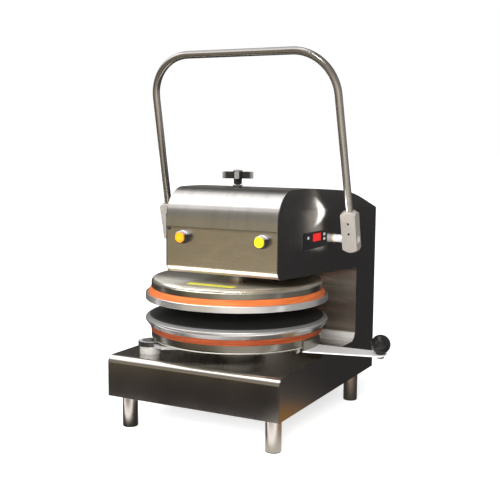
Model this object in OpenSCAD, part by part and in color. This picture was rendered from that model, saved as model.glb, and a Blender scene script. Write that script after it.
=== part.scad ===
// Manual heated tortilla press with a swing-out lower platen.
// Two round heated platens stand in the throat of a C-shaped sheet-metal body. Pulling
// the bail handle forward turns a cross shaft, whose cam pushes a forked lever and the
// ram down. The star knob sets the ram's lower stop. The lower platen swings out on
// a post at the front left corner.
// Millimetres, +Z up, front towards -Y. Machine coordinates have X = 0, Y = 0 on the ram
// axis and Z = 0 on the counter; placed() moves that so the origin is the middle of the
// whole machine's footprint.

/* [Platens] */
// Diameter of both platens
platen_d = 457.2; // [440:0.2:470]
// Thickness of the upper platen
upper_platen_t = 16; // [12:0.5:20]
// Thickness of the lower platen
lower_platen_t = 24.3; // [20:0.1:28]
// Open gap between the platens
platen_gap = 39.8; // [30:0.1:44]
// Gap left between the platens at full press
press_gap = 1.8; // [1:0.1:6]
// Height of the seal ring on the upper platen
upper_ring_h = 12.8; // [8:0.1:16]
// Height of the seal ring under the lower platen
lower_ring_h = 14.4; // [8:0.1:18]
// Height of the cover over the upper platen
cover_h = 23.7; // [20:0.1:28]
// Height of the pan under the lower platen
pan_h = 21.5; // [16:0.1:26]
// Step from the platen's edge in to the cover and the pan
cover_step = 14.6; // [10:0.1:20]
// Sheet thickness of the cover and the pan
cover_t = 1.2; // [0.8:0.1:2]
// Radius of the heating element's loop
heater_r = 150; // [110:1:180]
// Diameter of the heating element
heater_d = 8; // [6:0.5:10]

/* [Base] */
// Leg height
leg_h = 83.2; // [60:0.1:100]
// Leg tube diameter
leg_d = 38.1; // [32:0.1:44]
// Leg tube wall
leg_wall = 1.6; // [1:0.1:3]
// Distance of the legs from the base sides
leg_side = 35; // [28:1:60]
// Distance of the front legs from the base front
leg_front = 44.7; // [30:0.1:80]
// Distance of the back legs from the base back
leg_back = 77; // [40:1:100]
// Base width
base_w = 470.3; // [450:0.1:490]
// Base depth
base_d = 613.3; // [590:0.1:640]
// Base height
base_h = 101.6; // [90:0.1:120]
// Distance from the ram axis to the right side
right_x = 216.8; // [205:0.1:230]
// Distance from the ram axis to the base front
base_reach = 199.8; // [185:0.1:210]
// Bend radius along the base's front edge
front_bend = 17; // [10:1:25]
// Sheet thickness of the body
sheet = 2; // [1.5:0.1:3]

/* [Head] */
// Head width
head_w = 287.2; // [270:0.1:300]
// Distance from the ram axis to the head front
head_reach = 218.6; // [210:0.1:230]
// Height from the head's front floor edge to its crown
head_h = 196.6; // [185:0.1:210]
// Radius of the head's front shoulder
crown_r = 72; // [60:1:80]
// Bend radius at the foot of the front panel
floor_bend = 20; // [12:1:28]
// Rise of the head floor from the throat to the front
floor_rise = 27.6; // [10:0.1:35]
// Gap between the upper cover and the head floor at the throat
floor_gap = 5.6; // [3:0.1:12]
// Distance from the ram axis to the throat wall
throat_reach = 274; // [262:1:285]
// Bend radius at the top of the throat
throat_bend = 12; // [6:1:20]
// Bend radius at the foot of the throat
foot_bend = 25; // [15:1:35]
// Drop from the crown to the seam over the front panel
seam_drop = 88.8; // [80:0.1:100]
// Drop from the crown to the back edge of the head
back_drop = 70.8; // [60:0.1:80]
// Step of the front panel behind the head cover
seam_step = 1.2; // [0.5:0.1:3]

/* [Handle] */
// Distance of the cross shaft behind the ram axis
pivot_back = 107; // [100:1:115]
// Drop from the crown to the cross shaft
pivot_drop = 130.7; // [125:0.1:136]
// Diameter of the cross shaft
shaft_d = 20; // [16:0.5:22]
// Diameter of the bail tube
bail_d = 19; // [16:0.5:24]
// Wall of the bail tube
bail_wall = 2; // [1.2:0.1:3]
// Distance from the shaft to the bail's top bar
bail_reach = 465; // [440:1:480]
// Half width of the bail below its top corners
bail_half = 254.4; // [250:0.1:262]
// Radius of the bail's corners
bail_r = 110; // [80:1:130]
// Outward splay of the bail's arms, in degrees
bail_splay = 1.5; // [0:0.1:2.5]
// Forward lean of the raised bail, in degrees
bail_lean = 13.6; // [5:0.1:20]
// Travel of the bail, in degrees
bail_travel = 69; // [60:1:75]
// Width of the handle block
block_w = 38; // [34:1:44]
// Depth of the handle block
block_d = 30; // [27:1:36]
// Height of the handle block above the shaft
block_top = 72; // [60:1:85]
// Length of the handle block below the shaft
block_foot = 31; // [24:1:40]
// Depth of the bail tube in its block
bail_seat = 59; // [40:1:59]

/* [Press linkage] */
// Ram diameter
ram_d = 38.1; // [34:0.1:44]
// Bore of the ram's upper part
ram_bore = 27; // [25:0.5:28]
// Distance of the lever pivot behind the ram axis
lever_back = 330; // [320:1:340]
// Drop from the cross shaft to the lever pivot
lever_drop = 36; // [30:1:40]
// Rise of the ram's trunnions above the cross shaft
trunnion_rise = 4; // [0:0.5:6]
// Trunnion diameter
trunnion_d = 16; // [12:0.5:18]
// Radius of the cam's base circle
cam_base_r = 18; // [17:0.5:20]
// Diameter of the cam roller
roller_d = 24; // [20:0.5:26]
// Width of the cam and of its roller
cam_w = 20; // [14:1:24]
// Diameter of the roller pin and its bores
roller_pin_d = 12; // [10:0.5:14]
// Diameter of the lever's pivot pin
lever_pin_d = 20; // [16:0.5:24]
// Gap between the two lever plates
lever_inside = 66; // [64:1:70]
// Thickness of a lever plate
lever_t = 8; // [6:0.5:9]
// Gap between the two frame plates
frame_inside = 92; // [90:1:100]
// Thickness of a frame plate
frame_t = 6; // [5:0.5:10]
// Distance of the frame plates inside the body's outline
frame_inset = 12; // [8:1:16]
// Outer diameter of the ram's guide bush
guide_d = 46; // [43:0.5:50]
// Diameter of the return springs
spring_d = 14; // [10:0.5:16]

/* [Thickness control] */
// Diameter of the stop rod
rod_d = 12; // [10:0.5:13]
// Rise of the stop rod in one turn
rod_lead = 1.5; // [1:0.1:2]
// Radius over the knob's prongs
knob_r = 42; // [34:1:48]
// Height of the prongs
prong_h = 17; // [12:1:20]
// Turn of the knob's prongs from the X axis, in degrees
prong_turn = 24; // [0:1:90]
// Height of the prongs above the head
knob_rise = 19; // [14:1:26]

/* [Controls] */
// Distance of the left button from the ram axis, along X
button_left_x = -23; // [-40:1:-5]
// Distance of the right button from the ram axis, along X
button_right_x = 180; // [160:1:190]
// Drop from the crown to the buttons
button_drop = 112.3; // [108:0.1:125]
// Diameter of a button cap
button_d = 24; // [20:0.5:26]
// How far a button cap stands out of the panel
button_out = 23; // [18:0.5:28]
// Travel of a button
button_travel = 4; // [2:0.5:5]
// Length of the controller's face
face_l = 131; // [115:1:140]
// Height of the controller's face
face_h = 39; // [34:1:44]
// Distance of the controller's middle ahead of the ram axis
face_reach = 10.5; // [5:0.5:20]
// Drop from the crown to the controller's middle
face_drop = 124.3; // [118:0.1:132]

/* [Swing arm] */
// Distance of the post left of the ram axis
post_left = 180.1; // [175:0.1:190]
// Distance of the post ahead of the ram axis
post_front = 121.6; // [115:0.1:130]
// Diameter of the post's foot
post_d = 54; // [46:1:58]
// Diameter of the arm's hub
hub_d = 60; // [52:1:66]
// Thickness of the arm's hub
hub_t = 12; // [10:0.5:14]
// Thickness of the arm plate
arm_t = 8; // [6:0.5:9]
// Half width of the arm plate beside the post
arm_half = 57; // [45:1:65]
// Height of the arm above the base
arm_rise = 19.7; // [15:0.1:22]
// Height of the pan above the base
pan_rise = 39.7; // [36:0.1:44]
// Distance from the ram axis to the ball knob, along X
ball_x = 378; // [360:1:390]
// Distance of the ball knob behind the ram axis
ball_y = 13; // [0:1:25]
// Ball knob diameter
ball_d = 46; // [38:1:50]
// Thickness of the handle plate
handle_t = 3; // [2:0.5:5]

/* [Hidden] */
$fn = 48;

fit = 0.05;        // radial running clearance of shafts in their bores
loose = 0.3;       // clearance between parts that only pass each other
past = 1;          // how far a cut runs past the face it opens

// Heights, from the counter up
base_z = leg_h;
deck_z = base_z + base_h;
pan_z = deck_z + pan_rise;
lower_ring_z = pan_z + pan_h;
lower_platen_z = lower_ring_z + lower_ring_h;
lower_face_z = lower_platen_z + lower_platen_t;
upper_face_z = lower_face_z + platen_gap;
upper_ring_z = upper_face_z + upper_platen_t;
cover_z = upper_ring_z + upper_ring_h;
cover_top_z = cover_z + cover_h;
floor_back_z = cover_top_z + floor_gap;
floor_front_z = floor_back_z + floor_rise;
crown_z = floor_front_z + head_h;
shaft_z = crown_z - pivot_drop;
ram_travel = platen_gap - press_gap;

// Plan of the body
left_x = right_x - base_w;
head_x = right_x - head_w;
back_y = base_d - base_reach;
platen_r = platen_d / 2;
cover_r = platen_r - cover_step;
post = [-post_left, -post_front];
leg_spots = [for (x = [left_x + leg_side, right_x - leg_side],
    y = [-base_reach + leg_front, back_y - leg_back]) [x, y]];

// Corners of the body in the Y-Z plane, counter-clockwise from the foot of the front panel.
// The crown falls gently to a knee, then more steeply to the back edge.
crown_knee = [215.6, crown_z - 16.7];
crown_start = [-59, crown_z];
body_corners = [[-head_reach, floor_front_z], [throat_reach, floor_back_z],
    [throat_reach, deck_z], [-base_reach, deck_z], [-base_reach, base_z], [back_y, base_z],
    [back_y, crown_z - back_drop], crown_knee, crown_start, [-head_reach, crown_z]];
knee_bend = eased(body_corners[6], crown_knee, crown_start, 850, 6);
start_bend = eased(crown_knee, crown_start, body_corners[9], 1500, 3);
body_outline = concat([for (i = [0:6]) body_corners[i]], knee_bend, start_bend,
    [body_corners[9]]);
body_bends = concat([floor_bend, throat_bend, foot_bend, front_bend, 0, 0, 8],
    [for (p = knee_bend) 0], [for (p = start_bend) 0], [crown_r]);
base_outline = [[-base_reach, base_z], [back_y, base_z], [back_y, deck_z],
    [-base_reach, deck_z]];
base_bends = [0, 0, 0, front_bend];
function floor_z(y) = floor_front_z
    - floor_rise * (y + head_reach) / (throat_reach + head_reach);
function crown_at(y) = crown_z - (crown_z - crown_knee[1]) * (y - crown_start[0])
    / (crown_knee[0] - crown_start[0]);

// Lever, cam and roller, in the Y-Z plane at rest
shaft_yz = [pivot_back, shaft_z];
lever_yz = [lever_back, shaft_z - lever_drop];
trunnion_yz = [0, shaft_z + trunnion_rise];
roller_r = roller_d / 2;
roller_yz = shaft_yz - [0, cam_base_r + roller_r];
lever_len = norm(trunnion_yz - lever_yz);
trunnion_turn = 180 - asin((trunnion_yz[1] - lever_yz[1]) / lever_len);
lever_travel = 180 - asin((trunnion_yz[1] - ram_travel - lever_yz[1]) / lever_len)
    - trunnion_turn;
lever_x = lever_inside / 2;
frame_x = frame_inside / 2;
bridge_t = 12;
bridge_z = crown_at(0) - 48;
cam_gap = 0.15;
collar_h = 24;
collar_d = lever_inside - 4;
ear_y = collar_d / 2 + spring_d / 2 + 6;

// Stop rod: the nut sits in the ram's bore, and the ram's cap comes down on it
ram_top_z = trunnion_yz[1] + 20;
cap_plug = 8;
cap_t = 8;
nut_h = 10;
nut_top_z = ram_top_z - cap_plug - ram_travel - rod_lead - loose;
flange_t = 10;
rod_bush_t = 3;
knob_z = crown_at(0) + knob_rise;

// Handle
block_x = bail_half + block_w / 2 - 11.4;
head_top_y = -base_reach;

// Swing arm
arm_z = deck_z + arm_rise;
handle_z = pan_z - 8.5;
ball_z = handle_z + handle_t + ball_d / 2;

// Gland and the machine's footprint
gland_out = 18;
gland_x = right_x - 60;
gland_z = deck_z + 40;
placed_x = (ball_x + ball_d / 2 - block_x - block_w / 2) / 2;
placed_y = (back_y + gland_out - head_reach + seam_step - button_out) / 2;

steel = [0.55, 0.54, 0.52];
dark_steel = [0.2, 0.19, 0.19];
brushed = [0.52, 0.49, 0.42];
zinc = [0.7, 0.7, 0.68];
bronze = [0.68, 0.5, 0.27];
black = [0.06, 0.06, 0.06];
orange = [0.93, 0.42, 0.14];
alloy = [0.72, 0.71, 0.68];

// ---- plain shapes ----

module placed() { translate([-placed_x, -placed_y, 0]) children(); }

module block(a, b) { translate(a) cube(b - a); }

module upright(z0, z1, d, at = [0, 0]) {
    translate([at[0], at[1], z0]) cylinder(h = z1 - z0, d = d);
}

// Cylinder along X between x0 and x1, centred on the Y-Z point at
module across(x0, x1, d, at) {
    translate([x0, at[0], at[1]]) rotate([0, 90, 0]) cylinder(h = x1 - x0, d = d);
}

// Cylinder along Y between y0 and y1, centred on the X-Z point at
module along(y0, y1, d, at) {
    translate([at[0], y0, at[1]]) rotate([-90, 0, 0]) cylinder(h = y1 - y0, d = d);
}

// Y-Z outline made into a slab between x0 and x1
module slab(x0, x1) {
    translate([x0, 0, 0]) rotate([90, 0, 90]) linear_extrude(x1 - x0) children();
}

module both_sides() {
    children();
    mirror([1, 0, 0]) children();
}

// ---- outlines with round bends and an even inset ----

function unit(v) = v / norm(v);
function spun(v, a) = [v[0] * cos(a) - v[1] * sin(a), v[0] * sin(a) + v[1] * cos(a)];
function side(a, b) = let (d = unit(b - a)) [-d[1], d[0]];
function turn(u, v) = u[0] * v[1] - u[1] * v[0];
function meet(p, u, q, v) = p + u * turn(q - p, v) / turn(u, v);
function prev(pts, i) = pts[(i + len(pts) - 1) % len(pts)];
function next(pts, i) = pts[(i + 1) % len(pts)];
function inset(pts, d) = [for (i = [0:len(pts) - 1])
    let (a = prev(pts, i), b = pts[i], c = next(pts, i))
    meet(b + d * side(a, b), b - a, b + d * side(b, c), c - b)];
function bends_in(pts, i) = turn(pts[i] - prev(pts, i), next(pts, i) - pts[i]) > 0;

// Points along an arc of radius r that eases a shallow left-hand corner b
function eased(a, b, c, r, n) = let (u = unit(a - b), v = unit(c - b), half = acos(u * v) / 2,
    middle = b + unit(u + v) * r / sin(half), first = b + u * r / tan(half) - middle)
    [for (i = [0:n]) middle + spun(first, (180 - 2 * half) * i / n)];

// Wedge between a corner and the arc of radius r that rounds it
module corner_wedge(a, b, c, r) {
    u = unit(a - b);
    v = unit(c - b);
    half = acos(u * v) / 2;
    middle = b + unit(u + v) * r / sin(half);
    difference() {
        polygon([b, b + u * r / tan(half), middle, b + v * r / tan(half)]);
        translate(middle) circle(r);
    }
}

module rounded(pts, bends, d = 0) {
    q = inset(pts, d);
    difference() {
        union() {
            polygon(q);
            for (i = [0:len(q) - 1]) if (bends[i] > 0 && !bends_in(q, i))
                corner_wedge(prev(q, i), q[i], next(q, i), bends[i] + d);
        }
        for (i = [0:len(q) - 1]) if (bends[i] > d && bends_in(q, i))
            corner_wedge(prev(q, i), q[i], next(q, i), bends[i] - d);
    }
}

// Bent sheet of thickness t that follows an outline at depth d
module skin(pts, bends, t, d = 0) {
    difference() {
        rounded(pts, bends, d);
        rounded(pts, bends, d + t);
    }
}

module yz_box(y0, y1, z0, z1) { translate([y0, z0]) square([y1 - y0, z1 - z0]); }

// Straight-sided limb between two round ends
module limb(a, ra, b, rb) {
    u = unit(b - a);
    n = [-u[1], u[0]];
    s = (ra - rb) / norm(b - a);
    k = sqrt(1 - s * s);
    translate(a) circle(ra);
    translate(b) circle(rb);
    polygon([a + ra * (u * s + n * k), a + ra * (u * s - n * k),
        b + rb * (u * s - n * k), b + rb * (u * s + n * k)]);
}

// ---- body panels ----

module side_panel_right() {
    color(dark_steel) slab(right_x - sheet, right_x) difference() {
        rounded(body_outline, body_bends);
        translate(shaft_yz) circle(d = shaft_d + 8);
        face_opening(loose);
    }
}

module face_opening(gap) {
    yz_box(-face_reach - face_l / 2 + 8 - gap, -face_reach + face_l / 2 - 8 + gap,
        crown_z - face_drop - face_h / 2 + 4 - gap, crown_z - face_drop + face_h / 2 - 4 + gap);
}

module side_panel_left() {
    color(dark_steel) slab(head_x, head_x + sheet) difference() {
        rounded(body_outline, body_bends);
        yz_box(-head_reach * 2, back_y * 2, -past, deck_z);
        translate(shaft_yz) circle(d = shaft_d + 8);
    }
}

module base_side_left() {
    color(dark_steel) slab(left_x, left_x + sheet) rounded(base_outline, base_bends);
}

module base_cover() {
    color(brushed) difference() {
        slab(left_x + sheet, right_x - sheet) difference() {
            skin(base_outline, base_bends, sheet);
            yz_box(-base_reach + sheet, back_y - sheet, base_z - past, base_z + sheet);
        }
        both_sides() block([frame_x - loose, throat_reach - 1, deck_z - sheet - past],
            [frame_x + frame_t + loose, back_y - frame_inset + loose, deck_z + past]);
        upright(deck_z - sheet - past, deck_z + past, 12, post);
    }
}

module base_plate() {
    color(zinc) difference() {
        union() {
            block([left_x + sheet, -base_reach + sheet, base_z],
                [right_x - sheet, back_y - sheet, base_z + sheet]);
            for (spot = leg_spots) upright(base_z + sheet, base_z + sheet + 10, 18, spot);
        }
        for (spot = leg_spots) upright(base_z - past, base_z + sheet + 10 + past, 10 + 2 * fit, spot);
        for (i = [-3:3]) block([-90, 120 + 14 * i, base_z - past], [90, 125 + 14 * i, base_z + sheet + past]);
    }
}

module head_cover() {
    color(brushed) difference() {
        slab(head_x + sheet, right_x - sheet) intersection() {
            skin(body_outline, body_bends, sheet);
            polygon([[-head_reach - past, crown_z - seam_drop], [0, crown_z - seam_drop],
                [back_y + past, crown_z - back_drop - 30], [back_y + past, crown_z + past],
                [-head_reach - past, crown_z + past]]);
        }
        upright(crown_at(0) - 20, crown_z + 20, rod_d + 8);
    }
}

// Length of the front panel's return along the head floor
panel_return = 2 * floor_bend;

module front_panel() {
    color(brushed) difference() {
        slab(head_x + sheet, right_x - sheet) intersection() {
            skin(body_outline, body_bends, sheet, seam_step);
            yz_box(-head_reach, -head_reach + panel_return, floor_z(0), crown_z - seam_drop);
        }
        for (x = [button_left_x, button_right_x])
            along(-head_reach - past, -head_reach + 10, button_d - 1.4, [x, crown_z - button_drop]);
    }
}

module throat_panel() {
    color(brushed) difference() {
        slab(head_x + sheet, right_x - sheet) intersection() {
            skin(body_outline, body_bends, sheet);
            yz_box(-head_reach + panel_return + loose, throat_reach + 20, deck_z, floor_front_z + 10);
        }
        upright(floor_z(0) - 20, floor_z(0) + 20, guide_d + 1);
    }
}

module back_cover() {
    slots = 8;
    color(dark_steel) difference() {
        block([head_x + sheet, back_y - sheet, deck_z],
            [right_x - sheet, back_y, crown_z - back_drop - 31]);
        for (i = [0:slots - 1], x = [-10, 110])
            block([x, back_y - sheet - past, shaft_z - 130 + 14 * i],
                [x + 60, back_y + past, shaft_z - 126 + 14 * i]);
        along(back_y - sheet - past, back_y + past, 16 + 2 * fit, [gland_x, gland_z]);
    }
}

// Plastic feet: the pad under the tube, and the plug inside it
foot_t = 2;
foot_plug = 14;

module legs() {
    color(steel) for (spot = leg_spots) difference() {
        union() {
            upright(foot_t, base_z, leg_d, spot);
            upright(base_z, base_z + sheet + 9, 10, spot);
        }
        upright(foot_t - past, base_z - 4, leg_d - 2 * leg_wall, spot);
    }
}

module leg_feet() {
    color(black) for (spot = leg_spots) {
        upright(0, foot_t, leg_d, spot);
        upright(foot_t, foot_t + foot_plug, leg_d - 2 * leg_wall - 2 * fit, spot);
    }
}

// ---- inner frame ----

module frame_plates() {
    q = inset(body_corners, frame_inset);
    front = -base_reach + 50;
    outline = [[-62, q[0][1] + (q[1][1] - q[0][1]) * (-62 - q[0][0]) / (q[1][0] - q[0][0])],
        q[1], q[2], [front, q[3][1]], [front, base_z + sheet], [q[5][0], base_z + sheet],
        q[6], q[7], [-62, q[8][1]]];
    color(steel) both_sides() slab(frame_x, frame_x + frame_t) difference() {
        rounded(outline, [0, throat_bend + frame_inset, foot_bend + frame_inset, 0, 0, 0, 0, 0, 0]);
        translate(shaft_yz) circle(d = shaft_d + 8);
        translate(lever_yz) circle(d = lever_pin_d + 2 * fit);
    }
}

module top_bridge() {
    color(steel) difference() {
        union() {
            block([-frame_x, -ear_y - 12, bridge_z], [frame_x, ear_y + 12, bridge_z + bridge_t]);
            upright(bridge_z - 10, bridge_z, 30);
        }
        upright(bridge_z - 12, bridge_z + bridge_t + past, rod_d + 2 * fit);
    }
}

guide_z = floor_z(-34) + sheet + 1.5;
guide_top_z = trunnion_yz[1] - collar_h / 2 - ram_travel - 1;

module ram_guide() {
    color(steel) difference() {
        union() {
            block([-frame_x, -34, guide_z], [frame_x, 34, guide_z + 12]);
            upright(guide_z, guide_top_z - 2, guide_d + 12);
        }
        upright(guide_z - past, guide_top_z, guide_d + 2 * fit);
    }
}

module guide_bush() {
    color(bronze) difference() {
        union() {
            upright(floor_z(0) - 8, guide_top_z - 2, guide_d);
            upright(guide_top_z - 2, guide_top_z, guide_d + 8);
        }
        upright(floor_z(0) - 10, guide_top_z + past, ram_d + 2 * fit);
    }
}

// Flanged bush in a wall from x to x + t, with its flange on the inner side
module shaft_bush(x, t, inward) {
    difference() {
        union() {
            across(x, x + t, shaft_d + 8 - 2 * fit, shaft_yz);
            across(inward > 0 ? x + t : x - 2, inward > 0 ? x + t + 2 : x, shaft_d + 14, shaft_yz);
        }
        across(x - 4, x + t + 4, shaft_d + 2 * fit, shaft_yz);
    }
}

module shaft_bushes() {
    color(bronze) {
        shaft_bush(-frame_x - frame_t, frame_t, -1);
        shaft_bush(frame_x, frame_t, 1);
        shaft_bush(head_x, sheet, 1);
        shaft_bush(right_x - sheet, sheet, -1);
    }
}

module lever_pivot_pin() {
    color(zinc) across(-frame_x - frame_t, frame_x + frame_t, lever_pin_d, lever_yz);
}

module rod_bush() {
    color(zinc) difference() {
        union() {
            upright(crown_at(0) - 8, crown_at(0) + rod_bush_t, rod_d + 8 - 2 * fit);
            upright(crown_at(0) + 1, crown_at(0) + rod_bush_t, rod_d + 14);
        }
        upright(crown_at(0) - 10, crown_z + 10, rod_d + 2 * loose);
    }
}

// ---- controls ----

module button_housing(x) {
    front = -head_reach + seam_step;
    at = [x, crown_z - button_drop];
    difference() {
        union() {
            along(front - button_out + button_travel, front, button_d + 4, at);
            along(front - 6, front, button_d + 7, at);
            along(front, front + 14, button_d - 2, at);
            along(front + sheet, front + sheet + 5, button_d + 6, at);
            block([x - 14, front + 14, at[1] - 20], [x + 14, front + 48, at[1] + 20]);
        }
        along(front - button_out, front - 4, button_d + 2 * loose, at);
    }
}

module button_housings() {
    color([0.6, 0.6, 0.62]) {
        button_housing(button_left_x);
        button_housing(button_right_x);
    }
}

module button_cap(x) {
    front = -head_reach + seam_step;
    along(front - button_out, front - 4 - loose - button_travel, button_d, [x, crown_z - button_drop]);
}

module button_left() { color([1, 0.7, 0.06]) button_cap(button_left_x); }
module button_right() { color([1, 0.9, 0.06]) button_cap(button_right_x); }

key_travel = 0.8;
face_t = 2.5;
face_z = crown_z - face_drop;
window_y = -face_reach + 3.5;
window_l = 48;
window_h = 19;
key_l = 9;
key_h = 6;
case_depth = 66;
key_spots = [[-face_reach - face_l / 2 + 17, face_z + 8], [-face_reach + face_l / 2 - 18, face_z + 10],
    [-face_reach + face_l / 2 - 18, face_z - 1]];

module controller_case() {
    color(black) slab(right_x - case_depth, right_x) face_opening(0);
}

module controller_face() {
    color(black) slab(right_x, right_x + face_t) difference() {
        yz_box(-face_reach - face_l / 2, -face_reach + face_l / 2,
            face_z - face_h / 2, face_z + face_h / 2);
        window_outline(0);
        for (spot = key_spots) key_outline(spot, loose);
    }
}

module window_outline(gap) {
    yz_box(window_y - window_l / 2 - gap, window_y + window_l / 2 + gap,
        face_z + 6 - window_h / 2 - gap, face_z + 6 + window_h / 2 + gap);
}

module key_outline(spot, gap) {
    yz_box(spot[0] - key_l / 2 - gap, spot[0] + key_l / 2 + gap,
        spot[1] - key_h / 2 - gap, spot[1] + key_h / 2 + gap);
}

module display_window() {
    color([0.88, 0.12, 0.12]) slab(right_x, right_x + face_t - 0.5) window_outline(-fit);
}

module key(i) {
    color([0.75, 0.75, 0.75]) slab(right_x + key_travel + 0.2, right_x + face_t + key_travel)
        key_outline(key_spots[i], 0);
}

module key_left() { key(0); }
module key_up() { key(1); }
module key_down() { key(2); }

// ---- bail handle and cross shaft ----

// Places the bail's own frame, whose Y runs up the arms and whose Z points forward
module leaned() {
    translate([0, pivot_back, shaft_z]) rotate([90 + bail_lean, 0, 0]) children();
}

bail_corner = [bail_half - bail_r * cos(bail_splay), bail_reach - bail_r];
bail_bend_end = bail_corner + bail_r * [cos(bail_splay), sin(bail_splay)];
arm_length = (bail_bend_end[1] - block_top + bail_seat) / cos(bail_splay);

module bail_tube() {
    color(steel) leaned() {
        both_sides() {
            translate([bail_corner[0], bail_corner[1], 0]) rotate([0, 0, bail_splay])
                rotate_extrude(angle = 90 - bail_splay) translate([bail_r, 0]) bail_section();
            translate([bail_bend_end[0], bail_bend_end[1], 0]) rotate([0, 0, bail_splay])
                rotate([90, 0, 0]) linear_extrude(arm_length) bail_section();
        }
        translate([-bail_corner[0], bail_reach, 0]) rotate([0, 90, 0])
            linear_extrude(2 * bail_corner[0]) bail_section();
        both_sides() {
            translate([bail_corner[0], bail_reach, 0]) rotate([0, 90, 0]) bail_seam();
            translate([bail_bend_end[0], bail_bend_end[1], 0]) rotate([0, 0, bail_splay])
                rotate([90, 0, 0]) bail_seam();
        }
    }
}

// Weld seam that closes a joint between a straight and a bent length
module bail_seam() {
    translate([0, 0, -1]) linear_extrude(2) difference() {
        circle(d = bail_d + 0.1);
        circle(d = bail_d - 2 * bail_wall - 1);
    }
}

module bail_section() {
    difference() {
        circle(d = bail_d);
        circle(d = bail_d - 2 * bail_wall);
    }
}

// Square bar with turned ends; its axis meets the cross shaft
module bail_block() {
    reach = norm([block_w, block_d]) / 2;
    end_r = block_d / 2 - 1;
    chamfer = (reach - end_r) * 0.8;
    leaned() difference() {
        translate([block_x, 0, 0]) intersection() {
            translate([-block_w / 2, -block_foot, -block_d / 2])
                cube([block_w, block_top + block_foot, block_d]);
            rotate([-90, 0, 0]) turned([[0, -block_foot - past], [end_r - past, -block_foot - past],
                [reach + past, chamfer - block_foot], [reach + past, block_top - chamfer],
                [end_r - past, block_top + past], [0, block_top + past]]);
        }
        translate([bail_bend_end[0], bail_bend_end[1], 0]) rotate([0, 0, bail_splay])
            rotate([90, 0, 0]) cylinder(h = arm_length + loose, d = bail_d + 2 * fit);
        for (up = [block_top - 29, block_top - 55])
            translate([block_x, up, block_d / 2 - 8]) cylinder(h = 10, d = 6 + 2 * fit);
        translate([0, 0, 0]) rotate([0, 90, 0]) cylinder(h = block_x + block_w, d = shaft_d + 2 * fit);
    }
}

module bail_block_left() { color(alloy) mirror([1, 0, 0]) bail_block(); }
module bail_block_right() { color(alloy) bail_block(); }

module set_screws() {
    color(dark_steel) leaned() both_sides() for (up = [block_top - 29, block_top - 55])
        translate([block_x, up, block_d / 2 - 5.2]) difference() {
            cylinder(h = 4.8, d = 6);
            translate([0, 0, 2.4]) cylinder(h = 3, d = 3, $fn = 6);
        }
}

module cross_shaft() {
    color(steel) across(-block_x - block_w / 2 + 1, block_x + block_w / 2 - 1, shaft_d, shaft_yz);
}

// Roller centre seen from the turning cam, after the handle has moved by a degrees
function roller_seen(a) = let (k = max(0, min(1, a / bail_travel)))
    spun(lever_yz + spun(roller_yz - lever_yz, k * lever_travel) - shaft_yz, -a);
function cam_run(a) = unit(roller_seen(a + 0.5) - roller_seen(a - 0.5));
function cam_point(a) = let (u = cam_run(a))
    roller_seen(a) + (roller_r + cam_gap) * [u[1], -u[0]];

// Round of the cam where its lift starts, about the roller's centre at rest
function cam_start(k) = let (u = unit((1 - k) * cam_run(-1) + k * cam_run(1)))
    roller_yz - shaft_yz + (roller_r + cam_gap) * [u[1], -u[0]];

module cam() {
    steps = 23;
    last = bail_travel - 0.5;
    lift = concat([for (k = [0:0.2:1]) cam_start(k)],
        [for (i = [1:steps]) cam_point(last * i / steps)]);
    nose = cam_point(last) + 3 * cam_run(last);
    heel = (cam_base_r - cam_gap) * unit(spun(nose, -62));
    color(steel) difference() {
        union() {
            slab(-cam_w / 2 + 1, cam_w / 2 - 1) translate(shaft_yz) union() {
                circle(cam_base_r - cam_gap);
                polygon(concat([[0, 0]], lift, [nose, heel]));
            }
            both_sides() across(cam_w / 2 - 1, lever_x - 12, shaft_d + 14, shaft_yz);
        }
        across(-lever_x, lever_x, shaft_d + 2 * fit, shaft_yz);
    }
}

// ---- lever ----

module press_lever() {
    color(steel) difference() {
        union() {
            both_sides() slab(lever_x, lever_x + lever_t) {
                limb(lever_yz, 20, roller_yz, 15);
                limb(roller_yz, 15, trunnion_yz, 15);
            }
            across(-frame_x + loose, frame_x - loose, lever_pin_d + 14, lever_yz);
            across(-lever_x, lever_x, 16, (lever_yz + roller_yz) / 2);
        }
        across(-frame_x - past, frame_x + past, lever_pin_d + 2 * fit, lever_yz);
        both_sides() across(lever_x - past, lever_x + lever_t + past, roller_pin_d + 2 * fit, roller_yz);
        both_sides() slab(lever_x - past, lever_x + lever_t + past) {
            translate(trunnion_yz + [3, 0]) circle(trunnion_d / 2 + 0.5);
            yz_box(-40, 3, trunnion_yz[1] - trunnion_d / 2 - 0.5, trunnion_yz[1] + trunnion_d / 2 + 0.5);
        }
    }
}

module roller_pin() {
    color(zinc) {
        across(-lever_x - lever_t, lever_x + lever_t, roller_pin_d, roller_yz);
        both_sides() across(cam_w / 2 + loose, lever_x - loose, roller_pin_d + 5, roller_yz);
    }
}

module cam_roller() {
    color(steel) difference() {
        across(-cam_w / 2, cam_w / 2, roller_d, roller_yz);
        across(-cam_w, cam_w, roller_pin_d + 2 * fit, roller_yz);
    }
}

// ---- ram and upper platen ----

module ram() {
    color(steel) difference() {
        union() {
            upright(upper_ring_z, ram_top_z, ram_d);
            upright(upper_ring_z, upper_ring_z + flange_t, 2.6 * ram_d);
        }
        upright(nut_top_z - nut_h - 20, ram_top_z + past, ram_bore);
    }
}

module ram_cap() {
    color(zinc) difference() {
        union() {
            upright(ram_top_z - cap_plug, ram_top_z, ram_bore - 2 * fit);
            upright(ram_top_z, ram_top_z + cap_t, ram_d);
        }
        upright(ram_top_z - cap_plug - past, ram_top_z + cap_t + past, rod_d + 2 * loose);
    }
}

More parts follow.
